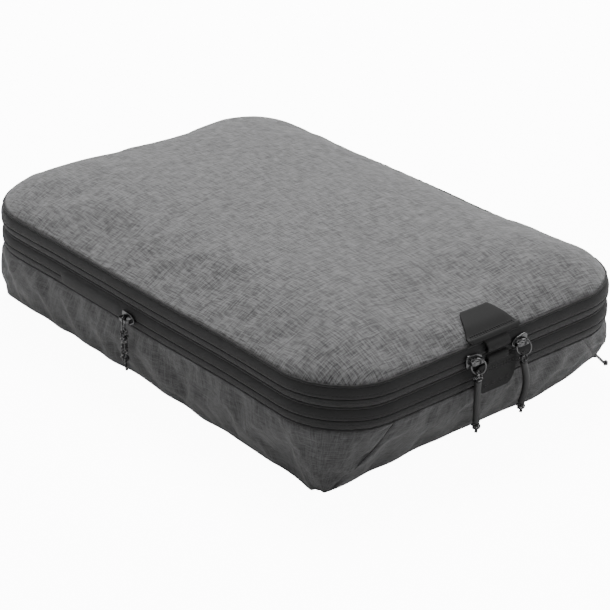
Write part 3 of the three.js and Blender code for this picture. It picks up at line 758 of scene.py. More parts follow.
# %% [markdown]
# The corner seams and the divider have to touch the wall as it lies after it has settled. The
# simulation moves points but keeps their UVs, so a table from each UV to its point can tell
# where any place on the wall has gone.

# %% Reading the settled shell
settled_grid = {}
uv_layer = wall_shell.data.uv_layers.active.data
for loop in wall_shell.data.loops:
    across, up = uv_layer[loop.index].uv
    key = round(across / PERIMETER, 5), round(up / WALL_UV_HIGH, 3)
    settled_grid[key] = wall_shell.data.vertices[loop.vertex_index].co.copy()


def settled(u, t):
    """The settled wall's point nearest to a share round and a share up."""
    near = min(ROUND, key=lambda v: abs(v - u))
    k = min(int(t * WALL_STEPS), WALL_STEPS - 1)
    low, high = [settled_grid[round(near, 5), round(WALL_ROWS[i], 3)] for i in (k, k + 1)]
    return low.lerp(high, t * WALL_STEPS - k)


print("settled points", len(settled_grid))

# %% [markdown]
# Cutting the shell: each face knows from its UV map how far round it lies, so the faces of the
# front and back straights become the end panels and all others the two side panels, which wrap
# round the corners. A narrow cleft along each cut shows as the seam.

# %% Cutting the four wall panels
def panel_of(u):
    if u < SEAM_SHARES[1]:
        return "front"
    if u < SEAM_SHARES[2]:
        return "right"
    return "back" if u < SEAM_SHARES[3] else "left"


def cut_panel(side):
    bm = bmesh.new()
    bm.from_mesh(wall_shell.data)
    layer = bm.loops.layers.uv.active
    middles = {face: sum(l[layer].uv.x for l in face.loops) / 4 / PERIMETER for face in bm.faces}
    away = [face for face, middle in middles.items() if panel_of(middle) != side]
    bmesh.ops.delete(bm, geom=away, context="FACES")
    panel = piece_from(bm, side + "_wall")
    finish_cloth(panel, 0.7 * MM)
    return panel


for side in ("front", "right", "back", "left"):
    wall = cut_panel(side)
    settle_in(wall, "tub", "wall_cloth", wall_cloth, side + "_wall_panel")
bpy.data.objects.remove(wall_shell)
print("four wall panels cut")

# %% [markdown]
# The base is a flat cloth whose margin turns up to the seam, and a narrow bound seam runs round
# it. The middle is one flat face, because it rests on whatever the cube stands on.

# %% Base and its seam
BASE_MARGIN = 34 * MM


def base_point(u, t):
    edge = base_edge(u)
    inner, _ = outline(u, BASE_X - BASE_MARGIN, BASE_Y - BASE_MARGIN, BASE_RADIUS)
    place = edge.lerp(inner, t)
    place.z = edge.z * (1 - t) ** 2.2 + 0.15 * MM * (1 - t)
    return place


def base_uv(u, t):
    point = base_point(u, t)
    return point.x, point.y


base = surface("base_cloth", ROUND, [0, 0.06, 0.14, 0.25, 0.4, 0.6, 0.8, 1.0],
               base_point, base_uv, close_u=True)
bm = bmesh.new()
bm.from_mesh(base.data)
inner_edges = [edge for edge in bm.edges
               if edge.is_boundary and max(vert.co.z for vert in edge.verts) < 0.05 * MM]
filled = bmesh.ops.triangle_fill(bm, edges=inner_edges, use_beauty=True)
layer = bm.loops.layers.uv.active
for face in [g for g in filled["geom"] if isinstance(g, bmesh.types.BMFace)]:
    for loop in face.loops:
        loop[layer].uv = loop.vert.co.xy
bmesh.ops.recalc_face_normals(bm, faces=bm.faces)
turn_faces(bm, (0, 0, -1))
bm.to_mesh(base.data)
bm.free()
thicken(base, 0.8 * MM)
settle_in(base, "tub", "wall_cloth", wall_cloth, "base_panel")
seam_line = [base_edge(u) + Vector((0, 0, 0.1 * MM)) for u in ROUND[:-1]]
base_seam = tube("base_seam", seam_line, 0.55 * MM, 6, closed=True)
settle_in(base_seam, "tub", "zip_tape", wall_cloth, "base_seam_binding")
print("base and seam")

# %% [markdown]
# Each corner seam is a thin stitched ridge in the groove between two panels. It runs slantwise
# from a corner of the base to the end of a straight of the zip.

# %% Corner seams
corner_seams = []
for share in SEAM_SHARES[:4]:
    line = [settled(share, t) + outline(share)[1] * 0.25 * MM for t in steps(0.01, 0.99, 24)]
    corner_seams.append(tube("seam", line, 0.34 * MM, 6))
corner_seams = joined("corner_seams", corner_seams)
settle_in(corner_seams, "tub", "wall_cloth", wall_cloth)
print("four corner seams")

# %% [markdown]
# A zip band is two tapes. Each is a ring with a softly bowed section: nearest the coil it stands
# out, and at its seam it is pulled in. Rings are grids that close both ways.

# %% Zip tapes
TAPE_THICK = 0.9 * MM
PROUD_INSET = 0.15 * MM  # of the tapes beside the zip's line


def band_ring(name, section, zip_z):
    """A ring of cloth tape whose closed section is (inset, height) pairs."""
    loop = section + section[:1]

    def place(u, k):
        inset, z = loop[k]
        point, out = outline(u)
        point = point - out * inset
        point.z = z + sway(u)
        return point

    def uv(u, k):
        return u * PERIMETER, loop[k][1] - zip_z

    return surface(name, columns(4 * MM), list(range(len(loop))), place, uv,
                   close_u=True, close_v=True)


def tape_section(zip_z, seam_z):
    """From the zip's line to the seam and back on the inner side, as (inset, height) pairs."""
    side = 1 if seam_z > zip_z else -1
    near, far = zip_z + side * 0.16 * MM, seam_z - side * 0.3 * MM
    outer = []
    for t in steps(0, 1, 7):
        rolled_edge = 0.25 * MM * exp(-(t / 0.12) ** 2)
        inset = PROUD_INSET + (SEAM_INSET - PROUD_INSET) * t ** 2.6 + rolled_edge
        outer.append((inset, near + (far - near) * t))
    return outer + [(inset + TAPE_THICK, z) for inset, z in reversed(outer)]


for name, zip_z, seam_z, body in (
    ("compression_zip_tape_lower", COMP_ZIP, LOW_SEAM + 0.1 * MM, "tub"),
    ("compression_zip_tape_upper", COMP_ZIP, MID_SEAM - 0.1 * MM, "collar"),
    ("main_zip_tape_lower", MAIN_ZIP, MID_SEAM + 0.5 * MM, "collar"),
    ("main_zip_tape_upper", MAIN_ZIP, TOP_SEAM + 0.2 * MM, "lid"),
):
    shown_name = name.replace("_zip", "").replace("tape", "zip_tape")
    tape = band_ring(shown_name, tape_section(zip_z, seam_z), zip_z)
    settle_in(tape, body, "zip_tape", zip_tape, name)
print("four tapes")

# %% [markdown]
# The coil is a nylon spring sewn to the inner side of the tape. Its turns are made as ribs on a
# narrow ring, whose thickness swells and shrinks once for each turn of the spring.

# %% Coils
COIL_PITCH = 2.0 * MM
COIL_RADIUS = 0.62 * MM
COIL_SWELL = 0.28
COIL_STEPS = 4  # rings of points for each turn of the spring


def coil_ring(name, zip_z, side, first, last):
    count = round((last - first) * PERIMETER / COIL_PITCH) * COIL_STEPS
    whole = last - first > 0.999

    def place(k, turn):
        u = first + (last - first) * k / count
        point, out = outline(u)
        swell = 1.0 + COIL_SWELL * cos(2 * pi * k / COIL_STEPS)
        inset = 2.15 * MM - COIL_RADIUS * swell * cos(2 * pi * turn)
        height = zip_z + side * 0.75 * MM + COIL_RADIUS * swell * sin(2 * pi * turn)
        point = point - out * inset
        point.z = height + sway(u)
        return point

    def uv(k, turn):
        return k / count * PERIMETER, turn * 4 * MM

    return surface(name, list(range(count + 1)), steps(0, 1, 6), place, uv,
                   close_u=whole, close_v=True)


for name, zip_z, side, body in (
    ("compression_zip_coil_lower", COMP_ZIP, -1, "tub"),
    ("compression_zip_coil_upper", COMP_ZIP, 1, "collar"),
):
    coil = coil_ring(name.replace("zip_coil", "coil"), zip_z, side, 0.0, 1.0)
    settle_in(coil, body, "zip_coil", zip_coil, name)
for name, side, body in (("main_zip_coil_lower", -1, "collar"), ("main_zip_coil_upper", 1, "lid")):
    coil = coil_ring(name.replace("zip_coil", "coil"), MAIN_ZIP, side, BACK_LAST, BACK_FIRST + 1.0)
    settle_in(coil, body, "zip_coil", zip_coil, name)
print("coils with a turn every", COIL_PITCH / MM, "mm")

# %% [markdown]
# The black lines between the bands are bound seams. They lie in the groove where two cloths
# meet, and they are a little uneven, as a sewn edge is.

# %% Seam pipings
def piping(name, z, inset, radius, uneven, seed):
    points = []
    for u in ROUND[:-1]:
        point, out = outline(u)
        point = point - out * (inset + uneven * wander(u, 60, seed))
        point.z = z + uneven * wander(u, 45, seed + 3) + sway(u)
        points.append(point)
    return tube(name, points, radius, 6, closed=True)


for name, z, inset, radius, uneven, seed, body, cad_node in (
    ("low_seam", LOW_SEAM - 0.1 * MM, 2.5 * MM, 0.75 * MM, 0.35 * MM, 5.0, "tub", "low_seam_piping"),
    ("mid_seam", MID_SEAM + 0.1 * MM, 2.6 * MM, 0.8 * MM, 0.15 * MM, 6.0, "collar", "mid_seam_binding"),
    ("top_seam", TOP_SEAM + 0.35 * MM, 2.35 * MM, 0.8 * MM, 0.35 * MM, 7.0, "lid", "top_seam_piping"),
):
    seam = piping(name, z, inset, radius, uneven, seed)
    settle_in(seam, body, "piping", piping_cloth, cad_node)
print("three seams")

# %% [markdown]
# The lid's cloth is pushed up by what is packed. It climbs steeply at the seam and flattens over
# the middle, so its height is a function of how far a point lies from the edge. Near the edge
# that is the true distance to the outline; further in, the distances to all four sides are
# blended, which leaves no ridge along the corner diagonals.

# %% The lid's cloth
LID_EDGE = 2.6 * MM
LID_FOOT = TOP_SEAM + 0.6 * MM
LID_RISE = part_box("top_panel")[1][2] - TOP_SEAM - 0.6 * MM
LID_REACH = 113 * MM  # distance from the edge at which the dome is full height
TAB_BED_HALF, TAB_BED_DEEP = 21 * MM, 27 * MM  # the part of the lid that the tab holds flat


def edge_distance(x, y):
    qx, qy = abs(x) - (HALF_X - RADIUS), abs(y) - (HALF_Y - RADIUS)
    outside = sqrt(max(qx, 0) ** 2 + max(qy, 0) ** 2)
    inset = RADIUS - outside - min(max(qx, qy), 0) - LID_EDGE
    sides = [HALF_X - x, HALF_X + x, HALF_Y - y, HALF_Y + y]
    blended = sum(max(d, 1e-4) ** -4 for d in sides) ** -0.25
    return inset + (blended - inset) * smoothstep(15 * MM, 45 * MM, inset)


def lid_height(x, y):
    share = min(1.0, max(0.0, edge_distance(x, y)) / LID_REACH)
    dome = LID_RISE * (1 - (1 - share) ** 2.6) ** 0.66
    away_from_seam = smoothstep(0, 40 * MM, share * LID_REACH)
    soft = 1.3 * MM * noise.noise(Vector((x * 14, y * 14, 0.7))) * away_from_seam
    return LID_FOOT + dome + soft


def lid_point(s, t):
    """Lays a square from -1 to 1 each way onto the lid, its rim onto the outline."""
    reach = max(abs(s), abs(t), 1e-9)
    a, b = s / reach, t / reach
    half = [HALF_X - RADIUS, HALF_Y - RADIUS]
    if abs(b) >= abs(a):
        turn, side = a * (1 if b < 0 else -1), (0 if b < 0 else 4)
    else:
        turn, side = b * (1 if a > 0 else -1), (2 if a > 0 else 6)
    straight = SECTIONS[side]
    middle = (sum(SECTIONS[:side]) + straight / 2) / PERIMETER
    u = middle + turn * (straight / 2 + ARC / 2) / PERIMETER
    edge, out = outline(u % 1.0)
    edge = edge - out * LID_EDGE
    place = Vector((edge.x, edge.y, 0)) * reach
    place.z = lid_height(place.x, place.y) + sway(u) * smoothstep(0.7, 1.0, reach)
    return place


def lid_uv(s, t):
    place = lid_point(s, t)
    return place.x, place.y


lid = surface("lid_cloth", steps(-1, 1, 84), steps(-1, 1, 124), lid_point, lid_uv)
bm = bmesh.new()
bm.from_mesh(lid.data)
turn_faces(bm, (0, 0, 1))
rim = [v.index for v in bm.verts if v.is_boundary]
rim += [v.index for v in bm.verts
        if abs(v.co.x) < TAB_BED_HALF and v.co.y < -HALF_Y + TAB_BED_DEEP and not v.is_boundary]
bm.to_mesh(lid.data)
bm.free()
settle(lid, rim, growth=0.006, pressure=0.15, cap=2.2 * MM, bending=1.5)
finish_cloth(lid, 0.9 * MM)
settle_in(lid, "lid", "top_cloth", lid_cloth, "top_panel")
print("lid cloth rises", round(LID_RISE / MM, 1), "mm")

# %% [markdown]
# Inside: the divider is a flat cloth held round its edge, and the gusset is the folded strip
# that lets the collar rise. The gusset and the cloth fold behind the lid cross a joint, so they
# are given to neither body.

# %% Divider, gusset and back fold
DIVIDER_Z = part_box("divider_panel")[0][2]
DIVIDER_T = (DIVIDER_Z - base_edge(0.1).z) / (LOW_SEAM - base_edge(0.1).z)


def divider_point(u, t):
    """From the settled wall, a little inside it and evened out, to the middle."""
    near = [settled((u + k * 0.004) % 1.0, DIVIDER_T) for k in (-2, -1, 0, 1, 2)]
    edge = sum(near, Vector()) / len(near) - outline(u)[1] * 2.6 * MM
    place = Vector((edge.x, edge.y, 0)) * (1 - t)
    uneven = 0.8 * MM * t * noise.noise(Vector((place.x * 20, place.y * 20, 5)))
    droop = 2.0 * MM * (1 - (1 - t) ** 2) + uneven
    place.z = DIVIDER_Z + 0.6 * MM - droop * min(1, 3 * t)
    return place


def divider_uv(u, t):
    place = divider_point(u, t)
    return place.x, place.y


divider = surface("divider_cloth", columns(6 * MM), steps(0, 1, 16), divider_point, divider_uv,
                  close_u=True)
finish_cloth(divider, 0.5 * MM, levels=0)
settle_in(divider, "tub", "lining_cloth", pale_lining, "divider_panel")
divider_reach = [[vert.co[axis] for vert in divider.data.vertices] for axis in (0, 1)]
divider_span = [max(reach) - min(reach) for reach in divider_reach]
print("divider cut", [round(span / MM) for span in divider_span], "mm")

gusset_low, gusset_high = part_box("expansion_gusset")
lower_leaf = [(6.4, 0.0), (9.0, 0.12), (13.0, 0.34), (15.6, 0.48)]  # inset in mm, share of the height
fold = lower_leaf + [(15.9, 0.5), (15.6, 0.52), (13.0, 0.66), (9.0, 0.88), (6.4, 1.0)]


def gusset_point(u, k):
    inset, t = fold[k]
    point, out = outline(u)
    point = point - out * inset * MM
    point.z = gusset_low[2] + (gusset_high[2] - gusset_low[2]) * t
    return point


gusset = surface("gusset_cloth", columns(5 * MM), list(range(len(fold))), gusset_point,
                 lambda u, k: (u * PERIMETER, fold[k][0] * MM), close_u=True)
thicken(gusset, 0.5 * MM)
settle_in(gusset, None, "lining_cloth", pale_lining, "expansion_gusset")
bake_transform(gusset)

back_y = HALF_Y - 0.1 * MM
FOLD_HALF = 3.4 * MM  # half height of the cloth that the lid turns on


def back_fold_point(x, v):
    return Vector((x, back_y + 0.55 * MM - 0.5 * MM * v * v, MAIN_ZIP + v * FOLD_HALF))


fold_strip = surface("back_fold", steps(-0.070, 0.070, 30), steps(-1, 1, 12), back_fold_point,
                     lambda x, v: (x, v * FOLD_HALF + 0.01))
face_towards(fold_strip, (0, 1, 0))
thicken(fold_strip, 0.5 * MM)
settle_in(fold_strip, None, "zip_tape", zip_tape)
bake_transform(fold_strip)
print("divider, gusset and back fold")

# %% [markdown]
# The low zip on the right side has straight tapes set into the wall. They follow the unsettled
# wall, because the tape is stiffer than the cloth and holds it flat there.

# %% Side zip and the cover strip
def right_wall(y, z, proud):
    """A point on the right wall at a place along it and a height, lifted outward by proud."""
    low = Vector((BASE_X - 0.8 * MM, y, 3.4 * MM))
    high = Vector((HALF_X - SEAM_INSET - 0.2 * MM, y, LOW_SEAM - 0.3 * MM))
    t = (z - low.z) / (high.z - low.z)
    out = WALL_BULGE * sin(pi * t)
    return Vector((low.lerp(high, t).x + out + proud, y, z))


for name, side in (("lower", -1), ("upper", 1)):
    near, far = SIDE_ZIP + side * 0.2 * MM, SIDE_ZIP + side * SIDE_ZIP_HALF
    tape = surface("side_zip_tape_" + name + "_cloth", steps(-SIDE_ZIP_END, SIDE_ZIP_END, 90),
                   steps(near, far, 5), lambda y, z: right_wall(y, z, -0.35 * MM),
                   lambda y, z: (y, z - SIDE_ZIP))
    thicken(tape, 0.5 * MM)
    settle_in(tape, "tub", "zip_tape", zip_tape, "side_zip_tape_" + name)
    count = round(2 * SIDE_ZIP_END / COIL_PITCH) * COIL_STEPS
    points = [right_wall(-SIDE_ZIP_END + 2 * SIDE_ZIP_END * k / count, SIDE_ZIP + side * 0.75 * MM,
                         -2.6 * MM) for k in range(count + 1)]

    def ribbed(t):
        return 0.6 * MM * (1 + COIL_SWELL * cos(pi * t * count / 2))

    coil = tube("side_coil_" + name, points, ribbed, 6)
    settle_in(coil, "tub", "zip_coil", zip_coil, "side_zip_coil_" + name)

cover_low, cover_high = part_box("compression_zip_cover")


def cover_point(y, z):
    up = (z - cover_low[2]) / (cover_high[2] - cover_low[2])
    ends = smoothstep(0, 4 * MM, min(y - cover_low[1], cover_high[1] - y))
    uneven = 0.15 * noise.noise(Vector((y * 60, z * 60, 1)))
    proud = (-0.5 + ends * (0.75 + 0.3 * sin(pi * up) + uneven)) * MM
    pulled_in = SEAM_INSET * abs(2 * up - 1) ** 3
    return Vector((-HALF_X - proud + pulled_in, y, z))


cover = surface("zip_end_cover", steps(cover_low[1], cover_high[1], 30),
                steps(cover_low[2], cover_high[2], 10), cover_point,
                lambda y, z: (y, z - COMP_ZIP + 0.02))
finish_cloth(cover, 0.3 * MM, inward=False)
settle_in(cover, "tub", "zip_tape", strip_cloth, "compression_zip_cover")
print("side zip and cover strip")

# %% [markdown]
# The tear-open tabs are cut from rubbery sheet: a patch sewn to the cloth and a loop to pull.
# Each is a strip that follows a path over the edge of the cube, with its width set along the
# path. The upper patch is a trapezoid, wide at the seam, and its loop rolls out from under it.

# %% Tabs
SHEET = 1.0 * MM
TAB_X = -2.2 * MM


def sewn_strip(name, path, widths, rows=60):
    """A strip that follows (y, z) points, with half widths to either side of TAB_X."""
    curve = smooth_path([(0, y, z) for y, z in path], rows)
    spans = len(path) - 1

    def half_width(k):
        x = min(k / rows * spans, spans - 1e-6)
        i = int(x)
        return widths[i] + (widths[i + 1] - widths[i]) * (x - i)

    def place(k, v):
        point = curve[k]
        half = half_width(k)
        return Vector((TAB_X + v * half, point.y + 0.35 * MM * (abs(v) ** 3), point.z))

    strip = surface(name, list(range(rows + 1)), steps(-1, 1, 12), place,
                    lambda k, v: (v * half_width(k), curve[k].z))
    face_towards(strip, (0, -1, 0))
    return strip, curve


def finish_sheet(piece):
    """Rubbery sheet has a thickness and cut edges that are just rounded."""
    thicken(piece, SHEET, 1)
    soft = piece.modifiers.new("soft_edge", "BEVEL")
    soft.width = 0.22 * MM
    soft.segments = 2
    soft.limit_method = "ANGLE"
    soft.angle_limit = radians(50)


def over_lid(inset):
    y = -HALF_Y + inset
    return y, lid_height(0, y) + 0.35 * MM


patch_path = [over_lid(18.6 * MM), over_lid(17.5 * MM), over_lid(10 * MM), over_lid(4.5 * MM),
              (-HALF_Y + 2.1 * MM, TOP_SEAM + 3.0 * MM), (-HALF_Y + 0.9 * MM, TOP_SEAM + 1.5 * MM)]
patch_widths = [w * MM for w in (9.4, 11.2, 15.6, 18.9, 19.7, 18.2)]
patch, patch_curve = sewn_strip("patch", patch_path, patch_widths)
loop_path = [(-HALF_Y + 1.6 * MM, TOP_SEAM + 0.9 * MM), (-HALF_Y - 0.9 * MM, TOP_SEAM - 0.9 * MM),
             (-HALF_Y - 2.0 * MM, MAIN_ZIP + 4.4 * MM), (-HALF_Y - 2.2 * MM, MAIN_ZIP + 3.3 * MM),
             (-HALF_Y - 1.5 * MM, MAIN_ZIP + 2.3 * MM), (-HALF_Y - 0.3 * MM, MAIN_ZIP + 2.2 * MM)]
loop, _ = sewn_strip("loop", loop_path, [8.5 * MM] * len(loop_path))
upper_tab = joined("upper_tab_sheet", [patch, loop])
finish_sheet(upper_tab)
settle_in(upper_tab, "lid", "tab_rubber", tab_rubber, "upper_tab")

lower_path = [(-HALF_Y - 0.3 * MM, MAIN_ZIP - 2.0 * MM), (-HALF_Y - 1.9 * MM, MAIN_ZIP - 2.5 * MM),
              (-HALF_Y - 1.9 * MM, MAIN_ZIP - 4.6 * MM), (-HALF_Y - 0.5 * MM, MID_SEAM + 0.2 * MM),
              (-HALF_Y - 0.5 * MM, MID_SEAM - 2.0 * MM), (-HALF_Y - 0.5 * MM, LOW_SEAM + 1 * MM),
              (-HALF_Y - 0.35 * MM, LOW_SEAM - 2.8 * MM), (-HALF_Y - 0.35 * MM, LOW_SEAM - 4.4 * MM)]
lower_widths = [w * MM for w in (7.8, 7.8, 7.8, 9, 16.4, 14.4, 12.2, 9.8)]
lower_tab, _ = sewn_strip("lower_tab_sheet", lower_path, lower_widths)
finish_sheet(lower_tab)
settle_in(lower_tab, "collar", "tab_rubber", tab_rubber, "lower_tab")
print("tabs", [round(2 * max(widths) / MM) for widths in (patch_widths, lower_widths)], "mm wide")

# %% [markdown]
# A stitch is a thread that dips into the sheet at both ends, so only its rounded back shows.
# Each is made from a small sphere, drawn out along its row and half sunk in the sheet.

# %% Stitches on the tabs
STITCH_R = 0.42 * MM


def stitches(name, places):
    """places are (middle, direction, length) of each stitch."""
    bm = bmesh.new()
    for middle, direction, length in places:
        made = bmesh.ops.create_uvsphere(bm, u_segments=6, v_segments=4, radius=1.0)["verts"]
        turn = Vector(direction).to_track_quat("Z", "Y").to_matrix().to_4x4()
        bmesh.ops.scale(bm, vec=(STITCH_R, STITCH_R, length / 2), verts=made)
        bmesh.ops.transform(bm, matrix=turn, verts=made)
        bmesh.ops.translate(bm, vec=middle, verts=made)
    for face in bm.faces:
        face.smooth = True
    return piece_from(bm, name)


def stitch_row(start, end, count, fill=0.62):
    start, end = Vector(start), Vector(end)
    step = (end - start) / count
    return [(start + step * (k + 0.5), step, step.length * fill) for k in range(count)]


def across_tab(curve, y, half, count):
    """A row of stitches across a strip, on its outer face, where its path passes y."""
    k = min(range(1, len(curve) - 1), key=lambda i: abs(curve[i].y - y))
    along = (curve[k + 1] - curve[k - 1]).normalized()
    out = Vector((0, along.z, -along.y))
    if out.y > 0 or (abs(out.y) < 0.3 and out.z < 0):
        out = -out
    middle = curve[k] + out * SHEET * 1.12
    return stitch_row((TAB_X - half, middle.y, middle.z), (TAB_X + half, middle.y, middle.z), count)


rows = across_tab(patch_curve, -HALF_Y + 3.5 * MM, 17.6 * MM, 20)
rows += across_tab(patch_curve, -HALF_Y + 5.0 * MM, 17.0 * MM, 20)
upper_stitches = stitches("upper_tab_stitches", rows)
settle_in(upper_stitches, "lid", "piping", thread)

front_face = -HALF_Y - 0.5 * MM - SHEET * 1.02


def level_row(x, half, y, z, count, fill=0.62):
    return stitch_row((x - half, y, z), (x + half, y, z), count, fill)


rows = []
for z in (MID_SEAM - 2.6 * MM, MID_SEAM - 4.2 * MM):
    rows += level_row(TAB_X, 13.4 * MM, front_face, z, 12)
for x in [TAB_X + k * 5.6 * MM for k in (-1.5, -0.5, 0.5, 1.5)]:
    for z in (LOW_SEAM + 0.6 * MM, LOW_SEAM - 0.7 * MM):
        rows += level_row(x, 1.6 * MM, front_face + 0.1 * MM, z, 1, 1.0)
lower_stitches = stitches("lower_tab_stitches", rows)
settle_in(lower_stitches, "collar", "piping", thread)
print("stitches sewn")

# %% [markdown]
# A slider is two cast plates joined by a neck between the tapes, with an arched bridge that
# holds the pull. Each plate starts as one outline, is extruded, and has all its edges bevelled,
# because cast metal has no sharp edge and the bevel is what catches the light.

# %% Slider bodies
SLIDER_LONG, SLIDER_HIGH = 12 * MM, 8.2 * MM


def cast(points, depth, round_by):
    """An outline of points, drawn out by the vector depth and with all its edges rounded."""
    bm = bmesh.new()
    face = bm.faces.new([bm.verts.new(point) for point in points])
    grown = bmesh.ops.extrude_face_region(bm, geom=[face])["geom"]
    drawn_out = [part for part in grown if isinstance(part, bmesh.types.BMVert)]
    bmesh.ops.translate(bm, vec=depth, verts=drawn_out)
    bmesh.ops.recalc_face_normals(bm, faces=bm.faces)
    bmesh.ops.bevel(bm, geom=bm.edges[:], offset=round_by, affect="EDGES", segments=3,
                    profile=0.5, material=-1)
    return piece_from(bm, "cast")


def cast_plate(outline_points, y_outer, depth, round_by):
    """An outline in the XZ plane, as a rounded plate between y_outer and y_outer + depth."""
    return cast([(x, y_outer, z) for x, z in outline_points], (0, depth, 0), round_by)


def plate_outline():
    a, b, c = SLIDER_LONG / 2, SLIDER_HIGH / 2, 1.6 * MM
    half = [(-a, -b + c), (-a + c * 0.5, -b + c * 0.2), (-a + c, -b),
            (a - 2.2 * c, -b * 0.84), (a - 0.6 * c, -b * 0.5), (a, -b * 0.2)]
    return half + [(x, -z) for x, z in reversed(half)]


def bridge_outline():
    outer = [(-4.7, -1.2), (-4.7, -4.3), (-4.2, -5.2), (-3.2, -5.7),
             (3.2, -5.7), (4.2, -5.2), (4.7, -4.3), (4.7, -1.2)]
    inner = [(3.4, -1.2), (3.4, -3.9), (2.7, -4.4), (-2.7, -4.4), (-3.4, -3.9), (-3.4, -1.2)]
    return [(x * MM, y * MM) for x, y in outer + inner]


def bridge():
    half = 1.15 * MM
    return cast([(x, y, -half) for x, y in bridge_outline()], (0, 0, 2 * half), 0.35 * MM)


def slider_mesh(name):
    outer = cast_plate(plate_outline(), -1.8 * MM, 1.3 * MM, 0.4 * MM)
    inner = cast_plate(plate_outline(), 3.5 * MM, 1.1 * MM, 0.3 * MM)
    neck_half = 0.28 * MM
    neck = cast_plate([(1.5 * MM, -neck_half), (5 * MM, -neck_half),
                       (5 * MM, neck_half), (1.5 * MM, neck_half)], -0.7 * MM, 4.4 * MM, 0.1 * MM)
    slider = joined(name, [outer, inner, neck, bridge()])
    for face in slider.data.polygons:
        face.use_smooth = face.area < 1.2e-6
    return slider


def laid(piece, origin, heading, lean=0.0, flip=False):
    """Turns a piece about its own frame and puts its place into its mesh."""
    bm = bmesh.new()
    bm.from_mesh(piece.data)
    everything = bm.verts[:]
    if flip:
        bmesh.ops.rotate(bm, verts=everything, matrix=Matrix.Rotation(pi, 3, "Z"))
        bmesh.ops.rotate(bm, verts=everything, matrix=Matrix.Rotation(pi, 3, "X"))
    if lean:
        bmesh.ops.rotate(bm, verts=everything, cent=(0, NECK_Y, 0),
                         matrix=Matrix.Rotation(lean, 3, "X"))
    bmesh.ops.rotate(bm, verts=everything, matrix=Matrix.Rotation(heading, 3, "Z"))
    bmesh.ops.translate(bm, verts=everything, vec=origin)
    bm.to_mesh(piece.data)
    bm.free()
    return piece


NECK_Y = 1.8 * MM
SIDE_LEAN = radians(8)
side_slider_y = sum(c[1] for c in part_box("side_slider")) / 2
left_x, right_x = [sum(c[0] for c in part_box(side + "_slider")) / 2
                   for side in ("main_left", "main_right")]
side_pivot = Vector([(low + high) / 2 for low, high in zip(*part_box("side_pull_link"))])
side_pivot.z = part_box("side_pull_link")[1][2] - 2.4 * MM
side_wall_x = side_pivot.x + NECK_Y - (5.0 * MM + NECK_Y) * cos(SIDE_LEAN)
SLIDERS = {  # place, heading, lean and whether it faces the other way
    "main_left": (Vector((left_x, -HALF_Y, MAIN_ZIP)), 0.0, 0.0, False),
    "main_right": (Vector((right_x, -HALF_Y, MAIN_ZIP)), 0.0, 0.0, True),
    "compression": (Vector((-HALF_X, comp_slider_y, COMP_ZIP)), -pi / 2, 0.0, False),
    "side": (Vector((side_wall_x, side_slider_y, SIDE_ZIP)), pi / 2, SIDE_LEAN, False),
}
for prefix, (origin, heading, lean, flip) in SLIDERS.items():
    slider = laid(slider_mesh(prefix + "_slider_cast"), origin, heading, lean, flip)
    settle_in(slider, prefix + "_runner", "slider_metal", gunmetal, prefix + "_slider")
    print(prefix, "slider at", [round(c / MM, 1) for c in origin])

# %% [markdown]
# A wire link hangs from each bridge, and the cord pull is knotted to the link. A knot drawn as
# a plain ball looks wrong, so each knot is a real one: a trefoil path, squeezed until its
# strands touch.

# %% Wire links, knots and cords
def wire_link(name):
    """A ring that hangs from the bridge, its middle 2.4 mm below the bridge's bar."""
    points = []
    for k in range(36):
        angle = 2 * pi * k / 36
        y = 4.0 * MM * (abs(cos(angle)) ** 0.85) * (1 if cos(angle) > 0 else -1)
        points.append((0, y, -2.4 * MM + 4.8 * MM * sin(angle)))
    return tube(name, points, 0.52 * MM, 8, closed=True)


def knot(name, middle, radius, tall, turn, strand):
    """A trefoil of one closed strand round a short core."""
    middle = Vector(middle)
    points = []
    for k in range(72):
        a = 2 * pi * k / 72
        wide = (radius - strand) * (2 + cos(3 * a)) / 3
        points.append(middle + Vector((wide * cos(2 * a + turn), wide * sin(2 * a + turn),
                                       (tall / 2 - strand) * sin(3 * a))))
    core_line = [middle + Vector((0, 0, z)) for z in steps(-tall * 0.36, tall * 0.36, 4)]
    core = tube("core", core_line, radius * 0.45, 8)
    return joined(name, [tube("strand", points, strand, 7, closed=True), core])


EYE_R = 1.75 * MM


def cord_eye(z):
    """The small loop of cord that goes round the lower end of a wire link."""
    points = [(EYE_R * cos(2 * pi * k / 24), 0, z + EYE_R * sin(2 * pi * k / 24)) for k in range(24)]
    return tube("eye", points, 0.7 * MM, 7, closed=True)


EYE = -7.5 * MM  # heights are from the bridge's bar
SLEEVE_TOP = -11.0 * MM
SLEEVE_END = SLEEVE_TOP - 27 * MM
STRAND_R = 0.95 * MM


def strand_through(name, points, count, radius=STRAND_R):
    return tube(name, smooth_path([(x * MM, y * MM, z) for x, y, z in points], count), radius, 8)


def main_cord():
    """The eye, a knot on top of the sleeve, a knot under it, and two tails."""
    head = knot("head", (0, 0, SLEEVE_TOP + 1.7 * MM), 2.9 * MM, 3.6 * MM, 0.0, STRAND_R)
    end = knot("end", (0, 0, SLEEVE_END - 1.7 * MM), 2.9 * MM, 3.4 * MM, 1.0, STRAND_R)
    tails = [strand_through("tail", [(side * 1.0, 0, SLEEVE_END - 1.8 * MM),
                                     (side * 1.8, side * 0.3, SLEEVE_END - 3.2 * MM),
                                     (side * 2.5, 0, SLEEVE_END - 4.6 * MM)], 8) for side in (-1, 1)]
    stem = tube("stem", [(0, 0, SLEEVE_TOP + 1.5 * MM), (0, 0, SLEEVE_TOP - 1 * MM)], 1.1 * MM, 8)
    foot = tube("foot", [(0, 0, SLEEVE_END + 1 * MM), (0, 0, SLEEVE_END - 1.5 * MM)], 1.1 * MM, 8)
    return joined("cord", [cord_eye(EYE), head, end, stem, foot] + tails)


